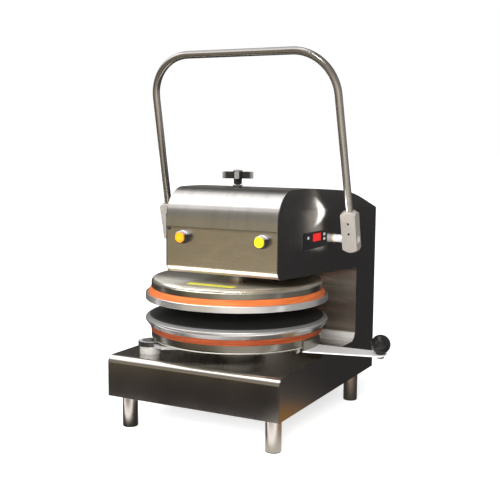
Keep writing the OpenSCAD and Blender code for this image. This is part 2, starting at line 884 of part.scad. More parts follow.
module ram_collar() {
    z0 = trunnion_yz[1] - collar_h / 2;
    color(steel) difference() {
        union() {
            upright(z0, z0 + collar_h, collar_d);
            across(-lever_x - lever_t, lever_x + lever_t, trunnion_d, trunnion_yz);
            block([-8, -ear_y - 8, z0 + collar_h - 10], [8, ear_y + 8, z0 + collar_h]);
        }
        upright(z0 - past, z0 + collar_h + past, ram_d + 2 * fit);
    }
}

module return_springs() {
    color(zinc) for (y = [-ear_y, ear_y]) difference() {
        upright(trunnion_yz[1] + collar_h / 2, bridge_z, spring_d, [0, y]);
        upright(trunnion_yz[1], bridge_z + past, spring_d - 5, [0, y]);
    }
}

// Round body turned from a half section of [radius, height] points
module turned(section) { rotate_extrude() polygon(section); }

module upper_platen() {
    edge = 1.5;
    color(alloy) turned([[0, upper_face_z], [platen_r - edge, upper_face_z],
        [platen_r, upper_face_z + edge], [platen_r, upper_ring_z - edge],
        [platen_r - edge, upper_ring_z], [0, upper_ring_z]]);
}

// Band round the cover's foot, wider at the platen
module upper_ring() {
    color(orange) turned([[cover_r - 8, upper_ring_z], [cover_r + 8.5, upper_ring_z],
        [cover_r + 6, upper_ring_z + upper_ring_h * 0.48], [cover_r + 4, upper_ring_z + upper_ring_h * 0.52],
        [cover_r + 2, cover_z], [cover_r - 8, cover_z]]);
}

// Section of a round lid that closes upwards, from its rim at z 0 up to h
module lid_section(r, h, bend, t, hole_r) {
    difference() {
        lid_solid(r, h, bend);
        translate([0, -past]) square([r - t, past + h - bend]);
        difference() {
            translate([0, 0]) square([r - t, h - t]);
            translate([r - bend, h - bend]) square(bend);
        }
        translate([r - bend, h - bend]) circle(bend - t);
        square([hole_r, h + past]);
    }
}

module lid_solid(r, h, bend) {
    square([r, h - bend]);
    square([r - bend, h]);
    translate([r - bend, h - bend]) circle(bend);
}

module upper_cover() {
    color([0.5, 0.49, 0.45]) translate([0, 0, cover_z]) rotate_extrude()
        intersection() {
            lid_section(cover_r, cover_h, 16, cover_t, ram_d / 2 + loose);
            square([cover_r + past, cover_h + past]);
        }
}

// Loop of sheathed element with its two upright ends
module heater(z, up) {
    gap = 14;
    color([0.35, 0.33, 0.32]) {
        rotate([0, 0, 90 + gap / 2]) rotate_extrude(angle = 360 - gap)
            translate([heater_r, z]) circle(d = heater_d);
        for (s = [-1, 1]) rotate([0, 0, 90 + s * gap / 2]) translate([heater_r, 0, z])
            rotate([up > 0 ? 0 : 180, 0, 0]) cylinder(h = 12, d = heater_d);
    }
}

module upper_heater() { heater(upper_ring_z + heater_d / 2 + fit, 1); }
module lower_heater() { heater(lower_platen_z - heater_d / 2 - fit, -1); }

// ---- lower platen and swing arm ----

module lower_platen() {
    bevel_w = 10.6;
    bevel_h = 6;
    color(alloy) turned([[0, pan_z + cover_t], [40, pan_z + cover_t], [40, lower_platen_z],
        [platen_r - 9.5, lower_platen_z], [platen_r, lower_platen_z + 12.6],
        [platen_r, lower_face_z - bevel_h], [platen_r - bevel_w, lower_face_z], [0, lower_face_z]]);
}

module lower_ring() {
    color(orange * 0.8) turned([[cover_r - 8, lower_ring_z], [cover_r + 0.6, lower_ring_z],
        [cover_r + 1.6, lower_ring_z + lower_ring_h * 0.48],
        [cover_r + 2.6, lower_ring_z + lower_ring_h * 0.52],
        [cover_r + 3.4, lower_platen_z], [cover_r - 8, lower_platen_z]]);
}

module lower_pan() {
    color([0.45, 0.43, 0.38]) translate([0, 0, lower_ring_z]) mirror([0, 0, 1]) rotate_extrude()
        intersection() {
            lid_section(cover_r, pan_h, 9, cover_t, 6);
            square([cover_r + past, pan_h + past]);
        }
}

module swing_arm() {
    run = norm(post);
    color(steel) difference() {
        union() {
            translate([post[0], post[1], arm_z]) cylinder(h = hub_t, d = hub_d);
            translate([post[0], post[1], arm_z]) rotate([0, 0, atan2(-post[1], -post[0])])
                linear_extrude(arm_t) union() {
                    polygon([[8, -hub_d / 2 + 1], [26, -arm_half], [run, -75], [run, 75],
                        [26, arm_half], [8, hub_d / 2 - 1]]);
                    circle(d = hub_d);
                    translate([run, 0]) circle(75);
                }
            upright(arm_z + arm_t, pan_z, 100);
        }
        upright(arm_z - past, arm_z + hub_t + past, 30 + 2 * fit, post);
        upright(arm_z + hub_t - 3, arm_z + hub_t + past, 44, post);
    }
}

module pivot_post() {
    color(zinc) {
        upright(deck_z, arm_z - loose, post_d, post);
        upright(arm_z - loose, arm_z + hub_t - 3 + loose, 30, post);
        upright(deck_z - sheet - 8, deck_z, 12 - 2 * fit, post);
    }
}

// Disc and screw head that hold the hub down on the post
module hub_cap() {
    z = arm_z + hub_t - 3 + loose;
    color(zinc) difference() {
        union() {
            upright(z, z + 3.2, 42, post);
            upright(z + 3.2, z + 7, 16, post);
        }
        translate([post[0], post[1], z + 4]) cylinder(h = 4, d = 8, $fn = 6);
    }
}

module support_pad() {
    color(steel) {
        upright(deck_z, arm_z - loose, 90);
        upright(deck_z, deck_z + 5, 130);
    }
}

module handle_plate() {
    flange = 27;
    color([0.8, 0.8, 0.78]) {
        difference() {
            translate([0, 0, handle_z]) linear_extrude(handle_t) difference() {
                union() {
                    polygon([[190, -57.4], [ball_x, ball_y - 25], [ball_x, ball_y + 25], [190, 33.6]]);
                    translate([ball_x, ball_y]) circle(25);
                }
                circle(cover_r + 0.2);
            }
            upright(handle_z - past, handle_z + handle_t + past, 10 + 2 * fit, [ball_x, ball_y]);
        }
        rotate([0, 0, -14.6]) rotate_extrude(angle = 24)
            translate([cover_r + 0.2, handle_z]) square([handle_t, flange]);
    }
}

module ball_knob() {
    color(black) difference() {
        union() {
            translate([ball_x, ball_y, ball_z]) sphere(d = ball_d);
            upright(handle_z + handle_t, ball_z, ball_d * 0.48, [ball_x, ball_y]);
        }
        upright(handle_z, ball_z, 10 + 2 * fit, [ball_x, ball_y]);
    }
}

module knob_bolt() {
    color(zinc) {
        upright(handle_z - 9, ball_z - loose, 10, [ball_x, ball_y]);
        translate([ball_x, ball_y, handle_z - 7]) cylinder(h = 7, d = 18.5, $fn = 6);
    }
}

// Cap nuts that hold the pan up against the platen
washer_d = 19;
washer_t = 1.5;
nut_d = 15;
nut_t = 6.5;

module pan_nuts() {
    color(zinc) for (a = [-15, 165]) rotate([0, 0, a]) translate([cover_r - 14, 0, 0]) {
        upright(pan_z - washer_t, pan_z, washer_d);
        translate([0, 0, pan_z - washer_t - nut_t]) cylinder(h = nut_t, d = nut_d, $fn = 6);
        translate([0, 0, pan_z - washer_t - nut_t]) intersection() {
            sphere(d = nut_d - 4);
            translate([0, 0, -nut_d]) cylinder(h = nut_d, d = nut_d);
        }
    }
}

// ---- thickness control ----

module adjuster_rod() {
    color(zinc) {
        upright(nut_top_z - nut_h - 6, knob_z + 8 - loose, rod_d);
        upright(nut_top_z - nut_h, nut_top_z, ram_bore - 2);
    }
}

module star_knob() {
    hub = 17;
    stem_z = knob_z - knob_rise + rod_bush_t + rod_lead + loose;
    color(black) difference() {
        union() {
            for (i = [0:3]) rotate([0, 0, prong_turn + 90 * i]) {
                translate([0, -6.5, knob_z]) cube([knob_r - 7, 13, prong_h]);
                upright(knob_z, knob_z + prong_h, 14, [knob_r - 7, 0]);
            }
            translate([0, 0, knob_z - 1]) cylinder(h = prong_h + 3, r = hub);
            translate([0, 0, knob_z + prong_h + 2]) cylinder(h = 3, r1 = hub, r2 = hub - 6);
            translate([0, 0, stem_z]) cylinder(h = knob_z - 1 - stem_z, r1 = 10, r2 = 14);
        }
        upright(stem_z - past, knob_z + 8, rod_d + 2 * fit);
    }
}

// ---- cord entry ----

module cord_gland() {
    color(black) difference() {
        union() {
            along(back_y - sheet - 8, back_y, 16, [gland_x, gland_z]);
            translate([gland_x, back_y, gland_z]) rotate([-90, 0, 0]) cylinder(h = 6, d = 26, $fn = 6);
            translate([gland_x, back_y + 6, gland_z]) rotate([-90, 0, 0])
                cylinder(h = gland_out - 6, d1 = 22, d2 = 15);
        }
        along(back_y - sheet - 9, back_y + gland_out + past, 9, [gland_x, gland_z]);
    }
}

placed() side_panel_right();
placed() side_panel_left();
placed() base_side_left();
placed() base_cover();
placed() base_plate();
placed() head_cover();
placed() front_panel();
placed() throat_panel();
placed() back_cover();
placed() legs();
placed() leg_feet();
placed() frame_plates();
placed() top_bridge();
placed() ram_guide();
placed() guide_bush();
placed() shaft_bushes();
placed() lever_pivot_pin();
placed() rod_bush();
placed() button_housings();
placed() controller_case();
placed() controller_face();
placed() display_window();
placed() pivot_post();
placed() hub_cap();
placed() support_pad();
placed() cord_gland();
placed() bail_tube();
placed() bail_block_left();
placed() bail_block_right();
placed() set_screws();
placed() cross_shaft();
placed() cam();
placed() press_lever();
placed() roller_pin();
placed() cam_roller();
placed() ram();
placed() ram_cap();
placed() ram_collar();
placed() upper_platen();
placed() upper_ring();
placed() upper_cover();
placed() upper_heater();
placed() return_springs();
placed() lower_platen();
placed() lower_ring();
placed() lower_pan();
placed() lower_heater();
placed() swing_arm();
placed() handle_plate();
placed() ball_knob();
placed() knob_bolt();
placed() pan_nuts();
placed() adjuster_rod();
placed() star_knob();
placed() button_left();
placed() button_right();
placed() key_left();
placed() key_up();
placed() key_down();
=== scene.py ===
# Manual heated tortilla press, as it is put together: a sheet-steel body on four tube legs,
# a bail handle that works a ram, two round heated platens and a swing-out lower arm.
from math import acos, cos, pi, radians, sin

import bmesh
import bpy
from mathutils import Matrix, Vector


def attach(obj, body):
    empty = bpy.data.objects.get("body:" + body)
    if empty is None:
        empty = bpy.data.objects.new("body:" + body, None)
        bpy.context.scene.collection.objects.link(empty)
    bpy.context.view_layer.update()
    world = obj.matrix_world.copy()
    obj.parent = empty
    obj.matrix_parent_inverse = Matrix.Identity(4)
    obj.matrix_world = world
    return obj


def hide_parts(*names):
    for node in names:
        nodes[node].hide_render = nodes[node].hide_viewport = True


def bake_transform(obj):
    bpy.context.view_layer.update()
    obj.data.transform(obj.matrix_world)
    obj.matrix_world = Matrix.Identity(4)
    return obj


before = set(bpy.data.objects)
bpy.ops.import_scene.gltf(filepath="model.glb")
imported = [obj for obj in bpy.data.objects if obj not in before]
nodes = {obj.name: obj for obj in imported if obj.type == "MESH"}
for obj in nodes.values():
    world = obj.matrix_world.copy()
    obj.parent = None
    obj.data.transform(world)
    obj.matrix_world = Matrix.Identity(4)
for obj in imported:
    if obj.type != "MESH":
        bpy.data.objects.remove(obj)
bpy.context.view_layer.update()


# ---- Legs ----
# Four lengths of polished stainless tube, welded to studs under the base plate. Each
# stands on a black plastic foot pushed into its end.

# Pieces are drawn in millimetres from the ram's axis and the counter.
TO_FRAME = Matrix.Scale(0.001, 4) @ Matrix.Translation((-60, -95.55, 0))


class Wire:
    """A socket of a finish's nodes; sums written with it add Math nodes."""

    def __init__(self, tree, socket=None):
        self.tree, self.socket = tree, socket

    def node(self, kind, settings=None, sockets=None, out=0):
        """Adds a node, sets its settings, then fills or links its sockets, and gives one output."""
        made = self.tree.nodes.new(kind)
        for name, value in (settings or {}).items():
            if name == "stops":
                ramp = made.color_ramp.elements
                while len(ramp) < len(value):
                    ramp.new(0.5)
                for stop, (place, colour) in zip(ramp, value):
                    stop.position, stop.color = place, (*colour, 1)
            else:
                setattr(made, name, value)
        for name, value in (sockets or {}).items():
            if isinstance(value, Wire):
                self.tree.links.new(value.socket, made.inputs[name])
            else:
                made.inputs[name].default_value = value
        return Wire(self.tree, made.outputs[out] if made.outputs else None)

    def maths(self, operation, a, b):
        return self.node("ShaderNodeMath", {"operation": operation}, {0: a, 1: b})

    def __add__(self, other): return self.maths("ADD", self, other)
    def __radd__(self, other): return self.maths("ADD", other, self)
    def __sub__(self, other): return self.maths("SUBTRACT", self, other)
    def __rsub__(self, other): return self.maths("SUBTRACT", other, self)
    def __mul__(self, other): return self.maths("MULTIPLY", self, other)
    def __rmul__(self, other): return self.maths("MULTIPLY", other, self)
    def __truediv__(self, other): return self.maths("DIVIDE", self, other)
    def __pow__(self, other): return self.maths("POWER", self, other)

    def noise(self, size, detail=2, roughness=0.5):
        """Noise on Object coordinates whose blobs are about size millimetres along X, Y and Z."""
        size = (size,) * 3 if isinstance(size, (int, float)) else size
        scaled = self.node("ShaderNodeVectorMath", {"operation": "MULTIPLY"},
                           {0: self.place(), 1: [1000 / s for s in size]})
        return self.node("ShaderNodeTexNoise", {"normalize": True},
                         {"Vector": scaled, "Scale": 1, "Detail": detail, "Roughness": roughness})

    def blend(self, share, low, high):
        """Colour between low and high; share is a number from 0 to 1."""
        low, high = ((*c, 1) if isinstance(c, tuple) else c for c in (low, high))
        return self.node("ShaderNodeMix", {"data_type": "RGBA"}, {0: share, 6: low, 7: high}, out=2)

    def clamp(self, low, high):
        return self.node("ShaderNodeClamp", {}, {"Value": self, "Min": low, "Max": high})

    def rise(self, start, end):
        """0 up to start, 1 from end on, and even between; it falls where end is the lower."""
        return ((self - start) / (end - start)).clamp(0, 1)

    def bump(self, strength, depth):
        """Normal of a skin that follows this value, at most depth metres deep."""
        return self.node("ShaderNodeBump", {}, {"Strength": strength, "Distance": depth,
                                                "Height": self})

    def place(self):
        """Place on the machine in metres, which stays with the piece."""
        return self.node("ShaderNodeTexCoord", out="Object")

    def along(self, axis):
        return self.node("ShaderNodeSeparateXYZ", {}, {0: self.place()}, out="XYZ".index(axis))

    def distance(self, spot):
        return self.node("ShaderNodeVectorMath", {"operation": "DISTANCE"},
                         {0: self.place(), 1: spot}, out=1)


def blank(store, name):
    """New material or world without nodes, and the Wire that gives it some."""
    made = store.new(name)
    made.use_nodes = True
    made.node_tree.nodes.clear()
    return made, Wire(made.node_tree)


def surface(name, recipe, **constants):
    """Material with one Principled shader; recipe gives what varies over the surface."""
    material, wire = blank(bpy.data.materials, name)
    sockets = {k.replace("_", " "): v for k, v in constants.items()}
    sockets.update(recipe(wire))
    shader = wire.node("ShaderNodeBsdfPrincipled", {}, sockets)
    wire.node("ShaderNodeOutputMaterial", {}, {"Surface": shader})
    return material


def brushed(name, colour, along, rough, grain, shade_and_marks=None):
    """Steel finished with fine lines along one axis and uneven smudges; shade_and_marks gives,
    from 0 to 1, how little painted shade and marks darken it."""
    line = 0.9
    fine, long = [line, line, line], [line * 3, line * 3, line * 3]
    fine[along], long[along] = line * 90, line * 60

    def recipe(w):
        lines, streaks = w.noise(fine, 3, 0.6), w.noise(long, 2)
        smudges = w.noise(95, 3, 0.55)
        tone = (lines * 0.5 + streaks * 0.3 + smudges * 0.35 - 0.12).clamp(0, 1)
        dull = tuple(c * (1 - 0.34 * grain) for c in colour)
        bright = tuple(min(1, c * (1 + 0.2 * grain)) for c in colour)
        colours = w.blend(tone, dull, bright)
        if shade_and_marks:
            # Where the hook gives less than 1 this blends in a dark colour: painted shade, with
            # real marks where the recipe gives them.
            colours = w.blend(shade_and_marks(w), (0.06, 0.056, 0.05), colours)
        wear_and_sheen = rough - 0.07 * grain + 0.12 * grain * lines + 0.1 * (smudges - 0.4)
        return {"Base Color": colours, "Roughness": wear_and_sheen.clamp(0.12, 0.8),
                "Normal": lines.bump(0.12 * grain, 0.0002)}
    return surface(name, recipe, Metallic=1.0)


def half_section(*points):
    """Wire of (radius, height) points, each with an optional third number that rounds it."""
    wide = 3  # a rounding from this size up is divided finer
    bm = bmesh.new()
    line = [bm.verts.new((p[0], 0, p[1])) for p in points]
    for a, b in zip(line, line[1:]):
        bm.edges.new((a, b))
    for vert, point in zip(line, points):
        if len(point) == 3:
            bmesh.ops.bevel(bm, geom=[vert], offset=point[2], offset_type="OFFSET",
                            affect="VERTICES", segments=3 if point[2] < wide else 8, profile=0.5,
                            material=-1)
    return bm


def spin_round(bm, steps):
    bmesh.ops.spin(bm, geom=bm.verts[:] + bm.edges[:], cent=(0, 0, 0), axis=(0, 0, 1),
                   dvec=(0, 0, 0), angle=2 * pi, steps=steps, use_merge=True)
    bmesh.ops.remove_doubles(bm, verts=bm.verts, dist=0.0005)
    return bm


def turned(*points, at=(0, 0, 0), steps=64, lay=None):
    """Round piece spun from a half section that starts and ends on its axis."""
    bm = spin_round(half_section(*points), steps)
    bmesh.ops.recalc_face_normals(bm, faces=bm.faces)
    if lay:
        bmesh.ops.transform(bm, matrix=lay, verts=bm.verts)
    bmesh.ops.translate(bm, verts=bm.verts, vec=at)
    return bm


def settle(parts, name, body, slot, material, *stands_for, crease=32):
    """Joins parts into one piece, moved into the frame and smooth up to the crease angle."""
    whole = bmesh.new()
    for part in parts:
        held = bpy.data.meshes.new(name)
        part.to_mesh(held)
        part.free()
        whole.from_mesh(held)
        bpy.data.meshes.remove(held)
    bmesh.ops.transform(whole, matrix=TO_FRAME, verts=whole.verts)
    mesh = bpy.data.meshes.new(name)
    whole.to_mesh(mesh)
    whole.free()
    while mesh.materials:
        mesh.materials.pop()
    mesh.materials.append(material)
    if "custom_normal" in mesh.attributes:
        mesh.attributes.remove(mesh.attributes["custom_normal"])
    mesh.shade_smooth()
    mesh.set_sharp_from_angle(angle=radians(crease))
    piece = bpy.data.objects.new(name, mesh)
    bpy.context.scene.collection.objects.link(piece)
    piece.modifiers.new("Even flats", "WEIGHTED_NORMAL").keep_sharp = True
    if body:
        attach(piece, body)
    if stands_for:
        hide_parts(*stands_for)
    return piece


tube_steel = brushed("tube_steel", (0.6, 0.565, 0.51), 2, rough=0.27, grain=0.3)
black_matte = surface("black_matte", lambda w: {
    "Base Color": w.blend(w.noise(3, 3), (0.012, 0.012, 0.012), (0.03, 0.029, 0.028)),
    "Roughness": 0.42 + 0.2 * w.noise(6),
    "Normal": w.noise(0.9, 2).bump(0.25, 0.0003)})
leg_spots = [(x, y, 0) for x in (-218.5, 181.8) for y in (-155.1, 336.5)]
LEG_H, LEG_R, LEG_WALL, STUD_R, STUD_TOP = 83.2, 19.05, 1.6, 5, 94.2
settle([turned((0, STUD_TOP), (STUD_R, STUD_TOP), (STUD_R, LEG_H), (LEG_R, LEG_H), (LEG_R, 2, 0.6),
               (LEG_R - LEG_WALL, 2), (LEG_R - LEG_WALL, LEG_H - 4), (0, LEG_H - 4), at=spot)
        for spot in leg_spots],
       "leg_tubes", "frame", "tube_steel", tube_steel, "legs")
settle([turned((0, 0), (18.4, 0, 0.8), (18.9, 2), (17.4, 2), (17.4, 16, 1), (0, 16), at=spot)
        for spot in leg_spots], "leg_caps", "frame", "black_matte", black_matte, "leg_feet")


# ---- Base and body panels ----
# Two-millimetre stainless sheet, bent and welded flush at the corners, then brushed. The
# sides are cut to the C-shaped outline; the wrapped sheets are bent along X.

def eased(name, edge):
    """Merged copy of a CAD node's mesh with its hard edges broken by edge millimetres."""
    bm = bmesh.new()
    bm.from_mesh(nodes[name].data)
    bmesh.ops.transform(bm, matrix=TO_FRAME.inverted(), verts=bm.verts)
    bmesh.ops.remove_doubles(bm, verts=bm.verts, dist=0.001)
    bmesh.ops.dissolve_limit(bm, angle_limit=radians(0.5), verts=bm.verts, edges=bm.edges)
    hard = [e for e in bm.edges if e.is_manifold and e.calc_face_angle() > radians(40)]
    bmesh.ops.bevel(bm, geom=hard, offset=edge, offset_type="OFFSET", affect="EDGES",
                    segments=2, profile=0.5, material=-1, clamp_overlap=True)
    return bm


# The side and back sheets get a darker steel than the wrapped sheets: painted shade for the dark
# they mirror.
side_steel = brushed("side_steel", (0.34, 0.33, 0.325), 2, rough=0.2, grain=0.3)
panel_steel = brushed("panel_steel", (0.56, 0.53, 0.495), 0, rough=0.19, grain=0.35)
for panel in ("side_panel_right", "side_panel_left", "base_side_left", "back_cover"):
    settle([eased(panel, 0.5)], panel + "_sheet", "frame", "side_steel", side_steel, panel)


def crown_shade_and_marks(w):
    """Wipe marks from front to back over the crown, with painted shade on its top and a faint
    painted dark line across its highlight lower down.
    """
    z = w.along("Z")
    marks = w.noise((16, 130, 130), 3) * 0.65 + w.noise((45, 90, 60), 3) * 0.35
    wiped = 0.14 + 0.3 * z.rise(0.575, 0.605)
    # The darker top is painted shade, and the thin line below it is a painted reflection.
    shade = 0.78 * z.rise(0.584, 0.6)
    line = 0.3 * (1 - ((z - 0.566) ** 2) * 70000).clamp(0, 1)
    return (1 - wiped * ((marks - 0.42) * 3).clamp(0, 1)) * (1 - shade) * (1 - line)


def seam_shade(w):
    """Painted shadow along the seam at the front panel's top edge, and faint patches below it."""
    line = w.along("Z").rise(0.5085, 0.5175)
    return 1 - 0.5 * line * line - 0.22 * w.noise((30, 30, 14), 3)


head_steel = brushed("head_steel", (0.6, 0.58, 0.55), 0, rough=0.24, grain=0.4, shade_and_marks=crown_shade_and_marks)
face_steel = brushed("face_steel", (0.68, 0.62, 0.52), 0, rough=0.26, grain=0.4, shade_and_marks=seam_shade)
for panel, steel in (("base_cover", panel_steel), ("head_cover", head_steel),
                     ("front_panel", face_steel)):
    settle([eased(panel, 0.3)], panel + "_sheet", "frame", "panel_steel", steel, panel)


def throat_painted_light(w):
    """Painted highlights on the throat's sheet where it bends out at its foot and at its top."""
    foot, top = w.along("Z").rise(0.207, 0.203), w.along("Z").rise(0.386, 0.398)
    # Light and dark bands are painted across the wall as reflections.
    reflection_bands = ((w.noise((420, 420, 38), 1) - 0.3) * 2.4).clamp(0, 1)
    wall = w.blend(reflection_bands, (0.22, 0.19, 0.17), (0.74, 0.67, 0.6))
    wall = w.blend(top * 0.8, wall, (0.66, 0.6, 0.5))
    highlight_colour = w.blend(w.noise((200, 200, 9), 2), (0.7, 0.66, 0.6), (0.95, 0.93, 0.88))
    return {"Base Color": w.blend(foot, wall, highlight_colour), "Metallic": 0.95 - 0.5 * foot - 0.35 * top,
            "Roughness": 0.24 + 0.08 * w.noise((200, 200, 40), 1)}


settle([eased("throat_panel", 0.3)], "throat_panel_sheet", "frame", "panel_steel",
       surface("throat_steel", throat_painted_light), "throat_panel")

# A small blackened round-headed screw closes the seam above the front panel, at its left.
FACING_FRONT = Matrix.Rotation(radians(90), 4, "X")
settle([turned((0, -3.2), (4.2, -3.2, 0.4), (4.4, -1.4, 0.8), (2.2, 0, 0.5), (1.6, -0.9), (0, -0.9),
               steps=24, lay=FACING_FRONT, at=(-62.4, -219.8, 512.5))],
       "seam_screw", "frame", "bright_steel", black_matte)


# ---- Inner frame ----
# Two plasma-cut steel plates, zinc coated, that carry the cross shaft, the lever and the
# ram's guide. The bushes are sintered bronze.

def coated(name, dull, bright, rough=0.42, metallic=1.0, size=14):
    """Coated or cast metal with a mottled tone and a fine pitted skin."""
    def recipe(w):
        mottle, pits = w.noise(size, 4, 0.6), w.noise(0.8, 2)
        return {"Base Color": w.blend(mottle, dull, bright),
                "Roughness": (rough + 0.25 * (mottle - 0.5)).clamp(0.1, 0.9),
                "Normal": pits.bump(0.12, 0.0002)}
    return surface(name, recipe, Metallic=metallic)


def paint(material, *names):
    """Gives CAD nodes that keep their shape their finish."""
    for name in names:
        nodes[name].material_slots[0].link = "OBJECT"
        nodes[name].material_slots[0].material = material


frame_steel = coated("frame_steel", (0.3, 0.3, 0.29), (0.46, 0.45, 0.43))
bright_steel = coated("bright_steel", (0.5, 0.49, 0.47), (0.7, 0.69, 0.66), rough=0.2, size=5)
bronze = coated("bronze", (0.42, 0.25, 0.1), (0.62, 0.42, 0.2), rough=0.35, size=4)
paint(frame_steel, "base_plate", "frame_plates", "top_bridge", "ram_guide", "cam", "press_lever")
paint(bright_steel, "lever_pivot_pin", "roller_pin", "cam_roller", "ram_cap", "ram_collar",
      "adjuster_rod")
paint(bronze, "guide_bush", "shaft_bushes")
paint(black_matte, "controller_case")


# ---- Push buttons ----
# Two lit caps of clear-coloured plastic, each in a deep chromed guard with a flange on the
# panel and a black contact block behind it.

LEFT_X, RIGHT_X, BUTTON_Z = -23, 180, 494.5


def button_parts(x):
    """Guard, nut and contact block of one button; the turned points are (radius, reach)."""
    guard = turned((0, 221.4), (12.3, 221.4), (12.3, 235.4, 0.4), (14, 236.4, 0.7), (14, 223.4),
                   (15.5, 223.4, 0.8), (15.5, 217.4), (11, 217.4), (11, 215.4), (15, 215.4),
                   (15, 210.4, 0.6), (11, 210.4), (11, 203.4), (0, 203.4),
                   lay=FACING_FRONT, at=(x, 0, BUTTON_Z))
    block = bmesh.new()
    bmesh.ops.create_cube(block, size=1, matrix=Matrix.Translation((x, -186.4, BUTTON_Z))
                          @ Matrix.Diagonal((28, 34, 40, 1)))
    bmesh.ops.bevel(block, geom=block.edges[:], offset=1.5, offset_type="OFFSET",
                    affect="EDGES", segments=2, profile=0.5, material=-1)
    return [guard, block]


def guard_painted_highlight(w):
    """Black chrome with a patchy painted highlight on its upper side."""
    wear_and_sheen = w.along("Z").rise(0.5, 0.506) * (0.5 + w.noise(3, 3)).clamp(0, 1)
    return {"Base Color": w.blend(wear_and_sheen, (0.018, 0.018, 0.02), (0.75, 0.76, 0.82)),
            "Metallic": 0.2 + 0.3 * wear_and_sheen, "Roughness": 0.18 + 0.1 * w.noise(4)}


chrome = surface("guard_chrome", guard_painted_highlight)
settle(button_parts(LEFT_X) + button_parts(RIGHT_X), "button_guards", "frame", "bright_steel",
       chrome, "button_housings")


def lit_plastic(name, deep, pale, centre):
    """Translucent cap that looks brighter towards its middle."""
    def recipe(w):
        middle = (1 - w.distance(centre) * 70).clamp(0, 1)
        tone = (middle * 0.8 + 0.25 * w.noise(2)).clamp(0, 1)
        colour = w.blend(tone, deep, pale)
        return {"Base Color": colour, "Emission Color": colour,
                "Roughness": 0.22 + 0.1 * w.noise(3)}
    return surface(name, recipe, Emission_Strength=0.18, Coat_Weight=0.4, Coat_Roughness=0.08)


for side, x, lit, deep, pale in (
        ("left", LEFT_X, "amber_cap", (0.8, 0.2, 0.0), (1.0, 0.42, 0.005)),
        ("right", RIGHT_X, "yellow_cap", (0.85, 0.5, 0.0), (1.0, 0.8, 0.012))):
    cap = turned((0, 240.4), (9.5, 240.0, 1.5), (12, 238.2, 1.2), (12, 225.7), (0, 225.7),
                 lay=FACING_FRONT, at=(x, 0, BUTTON_Z))
    centre = TO_FRAME @ Vector((x, -239, BUTTON_Z))
    settle([cap], "cap_" + side, side + "_button", lit,
           lit_plastic(lit, deep, pale, centre), "button_" + side)


# ---- Temperature controller ----
# A black plastic bezel on the right side, with a red filter window over the digits and
# three small grey keys that press in.

gloss_black = surface("bezel_black", lambda w: {
    "Base Color": w.blend(w.noise(4), (0.008, 0.008, 0.009), (0.02, 0.02, 0.022)),
    "Roughness": 0.5 + 0.2 * w.noise(9, 3)}, Specular_IOR_Level=0.2)
red_window = surface("red_window", lambda w: {
    "Base Color": w.blend(w.noise((4, 3, 8)), (0.5, 0.008, 0.006), (0.8, 0.015, 0.01)),
    "Emission Color": w.blend(w.noise((6, 5, 6)), (0.6, 0.006, 0.005), (0.9, 0.012, 0.01)),
    "Roughness": 0.4 + 0.1 * w.noise(7)}, Emission_Strength=0.45, Specular_IOR_Level=0.15)
key_grey = surface("key_grey", lambda w: {
    "Base Color": w.blend(w.noise(2, 3), (0.5, 0.5, 0.49), (0.75, 0.75, 0.73)),
    "Roughness": 0.4 + 0.2 * w.noise(3)})
settle([eased("controller_face", 0.8)], "controller_bezel", "frame", "black_matte", gloss_black,
       "controller_face")
settle([eased("display_window", 0.5)], "controller_window", "frame", "red_window", red_window,
       "display_window")
for key in ("left", "up", "down"):
    settle([eased("key_" + key, 0.4)], "key_cap_" + key, key + "_key", "key_grey", key_grey,
           "key_" + key)


# ---- Cross shaft and bail handle ----
# A bright ground shaft runs across the head. Clamped on its ends are two cast alloy
# blocks, and in them sits the bail, one bent stainless tube held by two set screws each.

SHAFT, SHAFT_R, SHAFT_END = (0, 107, 476.1), 10, 280
ground_steel = coated("ground_steel", (0.9, 0.89, 0.87), (0.98, 0.97, 0.95), rough=0.25,
                      metallic=0.3, size=9)
settle([turned((0, -SHAFT_END), (SHAFT_R, -SHAFT_END, 1), (SHAFT_R, SHAFT_END, 1), (0, SHAFT_END),
               steps=48, lay=Matrix.Rotation(radians(90), 4, "Y"), at=SHAFT)],
       "shaft_bar", "bail", "bright_steel", ground_steel, "cross_shaft")


